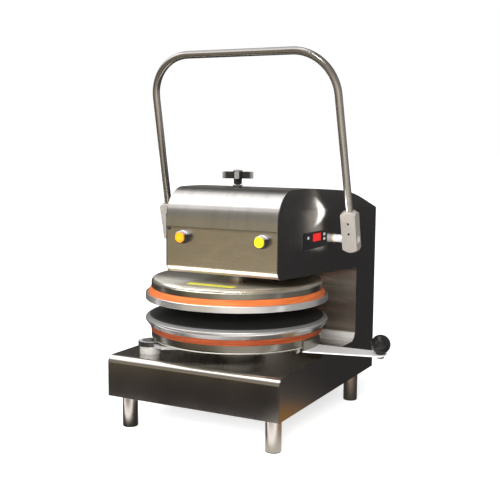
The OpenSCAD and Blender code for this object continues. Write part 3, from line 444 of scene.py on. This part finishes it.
def bail_loop():
    """Hollow tube made as it is bent: up one arm, round a corner, across, and down again."""
    tube_r, wall, bend_r, reach, half, foot = 9.5, 2, 110, 465, 254.4, 13
    splay, lean = radians(1.5), radians(13.6)
    corner = Vector((half - bend_r * cos(splay), reach - bend_r, 0))
    mirrored = Vector((-corner.x, corner.y, 0))
    bend_end = corner + bend_r * Vector((cos(splay), sin(splay), 0))
    arm = (bend_end.y - foot) / cos(splay)
    bm = bmesh.new()
    rims = [bmesh.ops.create_circle(bm, segments=36, radius=r)["verts"]
            for r in (tube_r, tube_r - wall)]
    ring = bmesh.ops.bridge_loops(bm, edges=list({e for v in rims[0] + rims[1]
                                                  for e in v.link_edges}))["faces"]
    bmesh.ops.transform(bm, verts=bm.verts, matrix=Matrix.Translation(
        (-bend_end.x - sin(splay) * arm, foot, 0)) @ Matrix.Rotation(-splay, 4, "Z")
        @ Matrix.Rotation(radians(-90), 4, "X"))

    def draw(ring, by):
        out = bmesh.ops.extrude_face_region(bm, geom=ring)["geom"]
        faces = [g for g in out if isinstance(g, bmesh.types.BMFace)]
        bmesh.ops.translate(bm, verts=list({v for f in faces for v in f.verts}), vec=by)
        return faces

    def bend(ring, centre):
        out = bmesh.ops.spin(bm, geom=ring, cent=centre, axis=(0, 0, -1), dvec=(0, 0, 0),
                             angle=pi / 2 - splay, steps=24, use_merge=False)["geom_last"]
        return [g for g in out if isinstance(g, bmesh.types.BMFace)]

    ring = draw(ring, Vector((sin(splay), cos(splay), 0)) * arm)
    ring = bend(ring, mirrored)
    ring = draw(ring, corner - mirrored)
    ring = bend(ring, corner)
    draw(ring, Vector((sin(splay), -cos(splay), 0)) * arm)
    bmesh.ops.recalc_face_normals(bm, faces=bm.faces)
    bmesh.ops.transform(bm, verts=bm.verts, matrix=Matrix.Translation(SHAFT)
                        @ Matrix.Rotation(radians(90) + lean, 4, "X"))
    return bm


def bail_painted_shade(w):
    """Painted shade that dulls the bail's reflections on its upper bends and its bar, most of all
    on top.
    """
    z = w.along("Z")
    return 1 - 0.36 * z.rise(0.84, 0.89) - 0.38 * z.rise(0.931, 0.934)


bail_steel = brushed("bail_steel", (0.6, 0.565, 0.53), 2, rough=0.24, grain=0.3, shade_and_marks=bail_painted_shade)
block_alloy = coated("block_alloy", (0.4, 0.37, 0.33), (0.62, 0.58, 0.53), rough=0.4,
                     metallic=0.4, size=5)
settle([bail_loop()], "bail_loop", "bail", "tube_steel", bail_steel, "bail_tube")
for side in ("left", "right"):
    settle([eased("bail_block_" + side, 0.5)], "clamp_block_" + side, "bail", "block_alloy",
           block_alloy, "bail_block_" + side, crease=25)
paint(black_matte, "set_screws")


# ---- Thickness screw ----
# A four-pronged moulded knob on a plated rod sets how far the ram may come down. A bright
# collar guides the rod where it leaves the head.

def from_axis(w, spot):
    """Distance in metres from the upright line through spot, in the machine's millimetres."""
    level = w.node("ShaderNodeVectorMath", {"operation": "MULTIPLY"}, {0: w.place(), 1: (1, 1, 0)})
    line = TO_FRAME @ Vector((*spot, 0))
    return w.node("ShaderNodeVectorMath", {"operation": "DISTANCE"}, {0: level, 1: line}, out=1)


def star():
    """Knob grown from an eight-sided hub: four sides drawn out into prongs, then rounded."""
    hub_r, reach, low, high, turn = 13, 38.5, 621.8, 639.4, radians(24)
    neck, swell = 9, 12
    tip = reach - neck - swell - hub_r * cos(pi / 8)
    bm = bmesh.new()
    bmesh.ops.create_cone(bm, cap_ends=True, segments=8, radius1=hub_r, radius2=hub_r,
                          depth=high - low, matrix=Matrix.Translation((0, 0, (low + high) / 2))
                          @ Matrix.Rotation(radians(22.5), 4, "Z"))
    sides = [f for f in bm.faces if abs(f.normal.z) < 0.1
             and max(abs(f.normal.x), abs(f.normal.y)) > 0.9]
    for side in sides:
        out = side.normal.copy()
        for step, spread in ((neck, 1.1), (swell, 1.15), (tip, 0.9)):
            moved = bmesh.ops.extrude_discrete_faces(bm, faces=[side])["faces"]
            side = moved[0]
            bmesh.ops.translate(bm, verts=side.verts, vec=out * step)
            middle = side.calc_center_median()
            across = out.cross(Vector((0, 0, 1)))
            for v in side.verts:
                v.co += across * (v.co - middle).dot(across) * (spread - 1)
    bmesh.ops.recalc_face_normals(bm, faces=bm.faces)
    rims = [e for e in bm.edges if e.calc_face_angle() > radians(50)]
    bmesh.ops.bevel(bm, geom=rims, offset=1.8, offset_type="OFFSET", affect="EDGES",
                    segments=3, profile=0.5, material=-1)
    bmesh.ops.rotate(bm, verts=bm.verts, cent=(0, 0, 0), matrix=Matrix.Rotation(turn, 3, "Z"))
    return bm


def grip_paled_at_tips_and_crown(w):
    """Black moulding, lighter grey towards the prongs' tips and on the hub's crown."""
    tips = from_axis(w, (0, 0)).rise(0.029, 0.037) * (0.4 + w.noise(6, 3)).clamp(0, 1)
    crown = w.along("Z").rise(0.6392, 0.6412) * 0.7
    paled = (tips + crown).clamp(0, 1)
    return {"Base Color": w.blend(paled, (0.016, 0.015, 0.014), (0.27, 0.26, 0.25)),
            "Roughness": 0.4 + 0.2 * w.noise(4),
            "Normal": w.noise(1.2, 3).bump(0.3, 0.0004)}


knob_black = surface("knob_black", grip_paled_at_tips_and_crown)
knob_hub = turned((0, 607.99), (10, 608, 0.8), (10.4, 621.5, 1), (12.6, 623.5),
                  (12.6, 640.4, 2), (9.4, 643.9, 1.5), (0, 644.1))
settle([star(), knob_hub], "star_grip", "knob", "black_gloss", knob_black, "star_knob")
settle([turned((0, 595.2), (9.95, 595.2), (9.95, 604.2), (13, 604.2), (13, 606.2, 0.8),
               (6.6, 606.2), (6.6, 593), (0, 593))],
       "screw_collar", "frame", "bright_steel", bright_steel, "rod_bush")


# ---- Ram and upper platen ----
# A ground steel ram with a bolted flange carries the upper platen, an aluminium disc with
# a seal band and a spun cover over its element.

def ribbed(low, high, *points):
    """Band spun from a half section whose outer side is pressed into fine ribs."""
    ribs, depth, section = 4, 0.5, []
    for (r0, z0), (r1, z1) in zip(points, points[1:]):
        for k in range(ribs * 2):
            t = k / (ribs * 2)
            section.append((r0 + (r1 - r0) * t - (depth if k % 2 else 0), z0 + (z1 - z0) * t, 0.3))
    section.append(points[-1])
    return turned((0, low), *section, (0, high), steps=144)


PLATEN_TOP, FLANGE_R, FLANGE_TOP, RAM_R, RAM_TOP = 340.5, 49.5, 350.5, 19.05, 500.1
settle([turned((0, PLATEN_TOP), (FLANGE_R, PLATEN_TOP), (FLANGE_R, FLANGE_TOP, 1),
               (RAM_R, FLANGE_TOP), (RAM_R, RAM_TOP, 0.8), (13.5, RAM_TOP), (13.5, 430), (0, 430))],
       "ram_bar", "ram", "bright_steel", bright_steel, "ram")


def cast_platen(w):
    """Turned aluminium, darker grey under the lower rim; the pressing faces have a dark coat."""
    z = w.along("Z")
    coat = (0.8 * z.rise(0.2783, 0.2793) + 0.2 * z.rise(0.2839, 0.2844)) * z.rise(0.3252, 0.3248)
    turned_marks = w.noise((0.7, 0.7, 60), 2) * 0.5 + w.noise(60, 4) * 0.5
    bare = w.blend(turned_marks, (0.68, 0.67, 0.66), (0.94, 0.93, 0.92))
    bare = w.blend(z.rise(0.2729, 0.2721), bare, (0.4, 0.39, 0.37))
    dark = w.blend(w.noise(35, 4), (0.02, 0.02, 0.019), (0.05, 0.05, 0.047))
    return {"Base Color": w.blend(coat, bare, dark), "Metallic": 0.88 - 0.88 * coat,
            "Roughness": 0.19 + 0.08 * w.noise(60, 2) + 0.26 * coat,
            "Normal": w.noise(1.5, 2).bump(0.1, 0.0002)}


def spun_cover(w):
    """Spun steel, with painted highlights at the cover's rolled edge and the pan's bend, and the
    brightest painted light on the front of the cover's flat."""
    z, haze = w.along("Z"), w.noise(110, 2)
    flat = z.rise(0.3742, 0.3766) * w.along("Y").rise(-0.17, -0.24)
    rolled, hem = z.rise(0.3655, 0.3675), z.rise(0.2288, 0.2282)
    wall = w.blend(haze, (0.24, 0.228, 0.19), (0.42, 0.4, 0.35))
    top = w.blend(haze, (0.66, 0.63, 0.55), (0.88, 0.85, 0.77))
    wall = w.blend(rolled, wall, top)
    return {"Base Color": w.blend((flat + hem).clamp(0, 1), wall, top),
            "Metallic": 1 - 0.7 * flat - 0.65 * hem,
            "Roughness": 0.2 + 0.08 * w.noise(60, 3)}


platen_alloy = surface("platen_alloy", cast_platen)
cover_steel = surface("cover_steel", spun_cover)


def rubber(name, deep, pale):
    """Silicone-coated glass braid, slightly glossy, with a close weave."""
    def recipe(w):
        weave, stain = w.noise((2.5, 2.5, 1.2), 2), w.noise(40, 3)
        ribs = ((w.noise((70, 70, 2.2), 2) - 0.34) * 2.6).clamp(0, 1)
        return {"Base Color": w.blend(weave * 0.25 + ribs * 0.5 + stain * 0.25, deep, pale),
                "Roughness": 0.4 + 0.2 * stain, "Normal": weave.bump(0.35, 0.0005)}
    return surface(name, recipe, Specular_IOR_Level=0.25)


seal_orange = rubber("seal_orange", (0.46, 0.075, 0.013), (0.78, 0.23, 0.065))
# The lower seal is a darker copy of the upper one: painted shade under the platen.
seal_dark = rubber("seal_dark", (0.09, 0.014, 0.006), (0.5, 0.1, 0.026))
RIM, RIM_STEPS, PRESS_FACE, SEAL_TOP = 228.6, 160, 324.5, 353.3
COVER_R, COVER_T, COVER_TOP, COVER_BORE = 214, 1.2, 377, 19.4
settle([turned((0, PRESS_FACE), (RIM, PRESS_FACE, 1.5), (RIM, PLATEN_TOP, 1.5), (0, PLATEN_TOP),
               steps=RIM_STEPS)],
       "platen_upper", "ram", "platen_alloy", platen_alloy, "upper_platen")
settle([ribbed(PLATEN_TOP, SEAL_TOP, (222.5, PLATEN_TOP), (220, 346.6), (216, SEAL_TOP))],
       "seal_upper", "ram", "seal_orange", seal_orange, "upper_ring")
settle([turned((COVER_BORE, COVER_TOP), (198, COVER_TOP), (COVER_R, COVER_TOP, 11),
               (COVER_R, SEAL_TOP, 0.6), (COVER_R - COVER_T, SEAL_TOP),
               (COVER_R - COVER_T, COVER_TOP - COVER_T, 10), (COVER_BORE, COVER_TOP - COVER_T),
               (COVER_BORE, COVER_TOP), steps=RIM_STEPS)],
       "cover_upper", "ram", "cover_steel", cover_steel, "upper_cover")
heater_steel = coated("heater_steel", (0.12, 0.1, 0.09), (0.3, 0.27, 0.24), rough=0.5, size=9)
paint(heater_steel, "upper_heater", "lower_heater")


SPRING_LOW, SPRING_HIGH = 492.1, 555.2


def coil(y):
    """Compression spring between a lug of the ram's collar and the bridge."""
    turns, coil_r, wire_r = 9, 5.6, 1.3
    steps = turns * 20
    climb = (SPRING_HIGH - SPRING_LOW - 2 * wire_r) / steps
    bm = bmesh.new()
    wire = bmesh.ops.create_circle(bm, segments=8, radius=wire_r, cap_ends=True,
                                   matrix=Matrix.Translation((coil_r, 0, 0))
                                   @ Matrix.Rotation(radians(90), 4, "X"))["verts"]
    faces = list({f for v in wire for f in v.link_faces})
    bmesh.ops.spin(bm, geom=faces, cent=(0, 0, 0), axis=(0, 0, 1), dvec=(0, 0, climb),
                   angle=2 * pi * turns, steps=steps, use_merge=False)
    bmesh.ops.recalc_face_normals(bm, faces=bm.faces)
    bmesh.ops.translate(bm, verts=bm.verts, vec=(0, y, SPRING_LOW + wire_r))
    return bm


springs = settle([coil(y) for y in (-44, 44)], "spring_coils", None, "bright_steel",
                 bright_steel, "return_springs")
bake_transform(springs)

# A bare strip of yellow vinyl lies across the front of the cover; it is given a faint painted glow.
STRIP_X, STRIP_Y, STRIP_T = 17, -160, 0.3
strip = bmesh.new()
bmesh.ops.create_cube(strip, size=1,
                      matrix=Matrix.Translation((STRIP_X, STRIP_Y, COVER_TOP + STRIP_T / 2))
                      @ Matrix.Diagonal((125, 21, STRIP_T, 1)))
corners = [e for e in strip.edges if abs((e.verts[0].co - e.verts[1].co).z) > STRIP_T / 2]
bmesh.ops.bevel(strip, geom=corners, offset=3, offset_type="OFFSET", affect="EDGES",
                segments=5, profile=0.5, material=-1)
yellow_vinyl = surface("yellow_vinyl", lambda w: {
    "Base Color": w.blend(w.noise(25, 4), (0.8, 0.78, 0.04), (0.95, 0.93, 0.08)),
    "Emission Color": w.blend(w.noise(25, 4), (0.7, 0.68, 0.05), (0.9, 0.88, 0.1)),
    "Roughness": 0.3 + 0.2 * w.noise(12, 3)}, Emission_Strength=0.3)
settle([strip], "cover_strip", "ram", "cover_steel", yellow_vinyl)


# ---- Post and pad under the swing arm ----
# A turned post bolted up through the base cover at the front left, with a plated disc and
# screw over its hub. A low pad carries the arm under the ram.

POST, DECK, ARM_UNDER = (-180.1, -121.6, 0), 184.8, 204.2
plated = coated("plated_steel", (0.68, 0.67, 0.64), (0.84, 0.83, 0.8), rough=0.26,
                metallic=0.5, size=25)
settle([turned((0, 174.8), (5.95, 174.8), (5.95, DECK), (27, DECK, 0.6), (27, ARM_UNDER, 1),
               (15, ARM_UNDER), (15, 213.8, 0.6), (0, 213.8), at=POST)],
       "post_column", "frame", "bright_steel", plated, "pivot_post")
settle([eased("hub_cap", 0.6)], "hub_disc", "frame", "bright_steel", frame_steel, "hub_cap",
       crease=25)
settle([turned((0, DECK), (65, DECK), (65, 189.8, 1), (45, 189.8), (45, ARM_UNDER, 1),
               (0, ARM_UNDER))],
       "pad_turned", "frame", "frame_steel", frame_steel, "support_pad")


# ---- Lower platen, arm and handle ----
# The lower disc and its pan sit on a flame-cut arm that turns on the post. A bright plate
# with a rolled flange carries a black ball knob on a bolt.

def hub_painted_shade_and_highlight(w):
    """Zinc plate, with painted shade on the hub's outer side and a painted highlight on its upper
    lip.
    """
    off = from_axis(w, POST[:2])
    side = off.rise(0.0288, 0.0294) * off.rise(0.0308, 0.0302)
    lip_highlight = off.rise(0.0288, 0.0282) * w.along("Z").rise(0.2155, 0.2161)
    plate = w.blend(w.noise(12, 3), (0.62, 0.61, 0.59), (0.86, 0.85, 0.83))
    return {"Base Color": w.blend(side, plate, (0.12, 0.115, 0.115)),
            "Metallic": 0.6 + 0.3 * side - 0.45 * lip_highlight,
            "Roughness": 0.2 + 0.12 * w.noise(9, 3)}


settle([eased("swing_arm", 0.8)], "arm_plate", "lower", "frame_steel",
       surface("arm_zinc", hub_painted_shade_and_highlight), "swing_arm")
PAN_UNDER, PAN_TOP, PLATEN_UNDER, LOWER_FACE, PAN_BORE = 224.5, 246, 260.4, 284.7, 6
settle([turned((0, PAN_UNDER + COVER_T), (40, PAN_UNDER + COVER_T), (40, PLATEN_UNDER),
               (219.1, PLATEN_UNDER, 0.8), (RIM, 273, 2), (RIM, 278.7, 2), (218, LOWER_FACE, 2),
               (0, LOWER_FACE), steps=RIM_STEPS)],
       "platen_lower", "lower", "platen_alloy", platen_alloy, "lower_platen")
settle([ribbed(PAN_TOP, PLATEN_UNDER, (214.6, PAN_TOP), (215.9, 253.2), (217.4, PLATEN_UNDER))],
       "seal_lower", "lower", "seal_dark", seal_dark, "lower_ring")
settle([turned((PAN_BORE, PAN_UNDER), (205, PAN_UNDER), (COVER_R, PAN_UNDER, 7),
               (COVER_R, PAN_TOP, 0.5), (COVER_R - COVER_T, PAN_TOP),
               (COVER_R - COVER_T, PAN_UNDER + COVER_T, 6), (PAN_BORE, PAN_UNDER + COVER_T),
               (PAN_BORE, PAN_UNDER), steps=RIM_STEPS)],
       "pan_lower", "lower", "cover_steel", cover_steel, "lower_pan")
settle([eased("pan_nuts", 0.3)], "cap_nuts", "lower", "bright_steel", bright_steel, "pan_nuts",
       crease=25)


def plate_finish(w):
    """Pale brushed plate whose upright flange is as dull as the pan it is welded to."""
    up = w.along("Z").rise(0.2195, 0.2205)
    lines, smudges = w.noise((90, 0.9, 0.9), 3, 0.6), w.noise(60, 3)
    plate = w.blend(lines * 0.6 + smudges * 0.4, (0.84, 0.83, 0.82), (0.98, 0.97, 0.96))
    return {"Base Color": w.blend(up, plate, (0.42, 0.4, 0.35)), "Metallic": 0.15 + 0.85 * up,
            "Roughness": 0.22 + 0.16 * lines}


handle_bright = surface("handle_bright", plate_finish)
plate = eased("handle_plate", 0.6)
BALL_X, BALL_Y, BOLT_CLEAR, END_DEPTH = 378, 13, 15, 0.52
for v in plate.verts:
    # The plate's end is a shallow curve just past the bolt.
    if v.co.x > BALL_X and (v.co.xy - Vector((BALL_X, BALL_Y))).length > BOLT_CLEAR:
        v.co.x = BALL_X + (v.co.x - BALL_X) * END_DEPTH
settle([plate], "handle_bar", "lower", "bright_steel", handle_bright, "handle_plate")
settle([eased("knob_bolt", 0.4)], "handle_bolt", "lower", "bright_steel", bright_steel,
       "knob_bolt", crease=25)

black_gloss = surface("black_gloss", lambda w: {
    "Base Color": w.blend(w.noise(8), (0.006, 0.006, 0.006), (0.016, 0.015, 0.015)),
    "Roughness": 0.07 + 0.05 * w.noise(14, 3)}, Specular_IOR_Level=0.38)
BALL_R, NECK_R, BALL_Z = 23, 11.04, 242
ball = bmesh.new()
seat = [ball.verts.new((r, 0, BALL_Z - BALL_R)) for r in (0, NECK_R)]
ball.edges.new(seat)
neck_turn = pi / 2 - acos(NECK_R / BALL_R)
join = ball.verts.new((NECK_R, 0, BALL_Z - BALL_R * cos(neck_turn)))
ball.edges.new((seat[1], join))
bmesh.ops.spin(ball, geom=[join], cent=(0, 0, BALL_Z), axis=(0, -1, 0), dvec=(0, 0, 0),
               angle=pi - neck_turn, steps=24, use_merge=False)
spin_round(ball, 48)
bmesh.ops.recalc_face_normals(ball, faces=ball.faces)
bmesh.ops.translate(ball, verts=ball.verts, vec=(BALL_X, BALL_Y, 0))
settle([ball], "ball_grip", "lower", "black_gloss", black_gloss, "ball_knob")


# ---- Cord entry ----
# A black nylon gland, moulded and threaded, is held by its nut in a hole of the back
# cover. The power cord would start at its bore.

paint(black_matte, "cord_gland")


# ---- Studio ----
# A pale floor, soft lamps, and flags that only reflections see, so that the brushed steel
# shows the light and dark that such a machine meets in a studio.

def shining(w, colour, strength=1):
    return w.node("ShaderNodeEmission", {}, {"Color": colour, "Strength": strength})


def seen_directly(w):
    """1 for rays from the camera, off a mirror or through glass, otherwise 0."""
    kinds = [w.node("ShaderNodeLightPath", out="Is " + kind + " Ray")
             for kind in ("Camera", "Glossy", "Transmission")]
    return (kinds[0] + kinds[1] + kinds[2]).clamp(0, 1)


def lit_floor(w):
    """Diffuse floor that keeps a shadow; further out its own glow makes up for the lamps."""
    far = w.distance((0, 0, 0)).rise(0.6, 3)
    shown = shining(w, w.blend(far, (0.68, 0.68, 0.68), (1.08, 1.08, 1.08)))
    shaded = w.node("ShaderNodeBsdfDiffuse", {}, {"Color": (0.8, 0.8, 0.8, 1)})
    both = w.node("ShaderNodeAddShader", {}, {0: shown, 1: shaded})
    return w.node("ShaderNodeMixShader", {}, {0: seen_directly(w), 1: shaded, 2: both})


def by_heading(w, *stops):
    """Colour by compass heading from the machine, in degrees from -180 to 180 off +X."""
    heading = w.maths("ARCTAN2", w.along("Y"), w.along("X")) / (2 * pi) + 0.5
    return w.node("ShaderNodeValToRGB", {"stops": [(a / 360 + 0.5, c) for a, c in stops]},
                  {0: heading})


# The flags' colours by heading: on the room's wall, and on the cloth close to the machine.
WALLS = ((-180, (0.12, 0.11, 0.1)), (-138, (0.13, 0.12, 0.1)), (-123, (0.44, 0.375, 0.255)),
         (-100, (0.46, 0.41, 0.31)), (-80, (0.8, 0.76, 0.69)), (-43, (0.8, 0.76, 0.69)),
         (-20, (0.32, 0.31, 0.29)), (42, (0.26, 0.25, 0.24)), (55, (0.055, 0.053, 0.053)),
         (85, (0.055, 0.053, 0.053)), (110, (0.12, 0.115, 0.11)), (180, (0.12, 0.11, 0.1)))
NEAR = ((-180, (0.05, 0.045, 0.04)), (-92, (0.02, 0.016, 0.015)), (-78, (0.76, 0.72, 0.68)),
        (-50, (0.76, 0.72, 0.68)), (-32, (0.28, 0.27, 0.25)), (25, (0.16, 0.14, 0.125)),
        (48, (0.06, 0.056, 0.054)), (180, (0.05, 0.045, 0.04)))


ROOM_R = 5


def room(w):
    """Flags round the machine with a broad soft light over its left shoulder."""
    over_left = [part / ROOM_R for part in (-0.456, -0.14, 0.8775)]
    towards = w.node("ShaderNodeVectorMath", {"operation": "DOT_PRODUCT"},
                     {0: w.place(), 1: over_left}, out=1)
    ceiling = ((w.along("Z") - 0.2) / 0.9).clamp(0, 0.75)
    colour = w.blend(ceiling, by_heading(w, *WALLS), (0.3, 0.29, 0.275))
    return shining(w, w.blend(towards.rise(0.775, 0.915), colour, (2.5, 2.5, 2.55)))


def cloth(w):
    """Dark cloth near the machine, a pale strip right in front, paler further out."""
    y, far = w.along("Y"), w.distance((0, 0, 0)).rise(1.05, 1.35)
    strip = y.rise(-0.325, -0.34) * y.rise(-0.46, -0.43)
    rust = w.distance((0.3, -0.03, 0)).rise(0.2, 0)
    colour = w.blend(far, by_heading(w, *NEAR), by_heading(w, *WALLS))
    colour = w.blend(rust, colour, (0.62, 0.3, 0.07))
    return shining(w, w.blend(strip, colour, (1.9, 1.82, 1.86)))


STREAK_X = 0.1708


def streak(w):
    """Brightest in the middle of the crescent, fading to its points."""
    near = w.distance((STREAK_X, -0.045, 0.542)).rise(0.06, 0)
    return shining(w, w.blend(near, (0.3, 0.28, 0.245), (6.2, 6.0, 5.6)))


def put(name, bm, recipe):
    """Stands a mesh in the studio, with what recipe gives as its surface."""
    material, wire = blank(bpy.data.materials, name)
    wire.node("ShaderNodeOutputMaterial", {}, {"Surface": recipe(wire)})
    mesh = bpy.data.meshes.new(name)
    bm.to_mesh(mesh)
    mesh.materials.append(material)
    thing = bpy.data.objects.new(name, mesh)
    bpy.context.scene.collection.objects.link(thing)
    return thing


def card(name, colour, centre, half, tilt=0, strength=1):
    """Shining rectangle of half its width and height, tilted about X by degrees."""
    bm = bmesh.new()
    bmesh.ops.create_grid(bm, x_segments=1, y_segments=1, size=1,
                          matrix=Matrix.Translation(centre)
                          @ Matrix.Rotation(radians(tilt), 4, "X") @ Matrix.Diagonal((*half, 1, 1)))
    return put(name, bm, lambda w: shining(w, (*colour, 1), strength))


floor_mesh, dome_mesh, cloth_mesh = bmesh.new(), bmesh.new(), bmesh.new()
bmesh.ops.create_grid(floor_mesh, x_segments=1, y_segments=1, size=60)
bmesh.ops.create_uvsphere(dome_mesh, u_segments=64, v_segments=32, radius=ROOM_R)
bmesh.ops.bisect_plane(dome_mesh, geom=dome_mesh.verts[:] + dome_mesh.edges[:] + dome_mesh.faces[:],
                       plane_co=(0, 0, 0.001), plane_no=(0, 0, -1), clear_outer=True)
bmesh.ops.create_circle(cloth_mesh, cap_ends=True, segments=64, radius=ROOM_R)
bmesh.ops.translate(cloth_mesh, verts=cloth_mesh.verts, vec=(0, 0, 0.0005))

# One card lies level in front of the head's lower bend. A crescent stands close to the
# side panel, where the panel's slight dish gathers the light of the bail and its block.
# A dark flag stands behind on the left, and a small bright card over the camera gives glints.
streak_mesh = bmesh.new()
streak_mesh.faces.new([streak_mesh.verts.new((STREAK_X, y, z)) for y, z in (
    (-0.1205, 0.6078), (-0.084, 0.5759), (-0.0637, 0.555), (-0.0562, 0.5391), (-0.0678, 0.5244),
    (-0.0918, 0.5065), (-0.048, 0.5208), (-0.0259, 0.5349), (-0.0207, 0.5469),
    (-0.0444, 0.5639), (-0.0806, 0.5845))])
flags = [put("flags", dome_mesh, room), put("floor_cloth", cloth_mesh, cloth),
         put("streak_card", streak_mesh, streak),
         card("front_card", (3.5, 3.4, 3.1), (-0.0125, -0.355, 0.372), (0.17, 0.037)),
         card("back_flag", (0.05, 0.046, 0.042), (-0.9, 0.8, 0.31), (0.85, 0.31), tilt=90),
         card("glint_card", (1, 1, 1), (0.75, -2.1, 2.4), (0.24, 0.24), tilt=50, strength=20)]
put("floor", floor_mesh, lit_floor)
for thing in flags:
    thing.visible_camera = thing.visible_diffuse = thing.visible_shadow = False
    thing.visible_transmission = thing.visible_volume_scatter = False


def softbox(name, place, aim, size, power):
    """Area lamp that lights but isn't mirrored."""
    lamp = bpy.data.lights.new(name, "AREA")
    lamp.shape, lamp.size, lamp.size_y = "RECTANGLE", *size
    lamp.energy = power
    box = bpy.data.objects.new(name, lamp)
    box.location = place
    box.rotation_euler = (Vector(aim) - Vector(place)).to_track_quat("-Z", "Y").to_euler()
    box.visible_glossy = False
    bpy.context.scene.collection.objects.link(box)


softbox("overhead", (-0.5, -0.9, 2.6), (-0.2, -0.4, 0.4), (2.6, 2.1), 58)
softbox("front_fill", (1.1, -3.0, 1.3), (0, 0, 0.4), (1.2, 1.0), 125)
softbox("left_fill", (-3.0, -1.8, 1.2), (0, 0, 0.4), (1.5, 1.5), 10)

world, sky = blank(bpy.data.worlds, "studio")
ambient, backdrop = (sky.node("ShaderNodeBackground", {}, {"Color": (1, 1, 1, 1), "Strength": s})
                     for s in (0.2, 1))
mixed = sky.node("ShaderNodeMixShader", {}, {0: seen_directly(sky), 1: ambient, 2: backdrop})
sky.node("ShaderNodeOutputWorld", {}, {"Surface": mixed})
bpy.context.scene.world = world
bpy.context.scene.view_settings.view_transform = "Standard"

# The camera stands to the right of the front, a little higher than the star knob.
lens = bpy.data.cameras.new("camera")
lens.sensor_width, lens.lens, lens.clip_end = 36, 64.77, 200
camera = bpy.data.objects.new("camera", lens)
eye, target = Vector((0.9973, -2.0692, 0.7111)), Vector((-0.02415, -0.09555, 0.4453))
roll = radians(0.5525)
turn = (target - eye).to_track_quat("-Z", "Y").to_matrix().to_4x4()
camera.matrix_world = Matrix.Translation(eye) @ turn @ Matrix.Rotation(roll, 4, "Z")
bpy.context.scene.collection.objects.link(camera)
bpy.context.scene.camera = camera
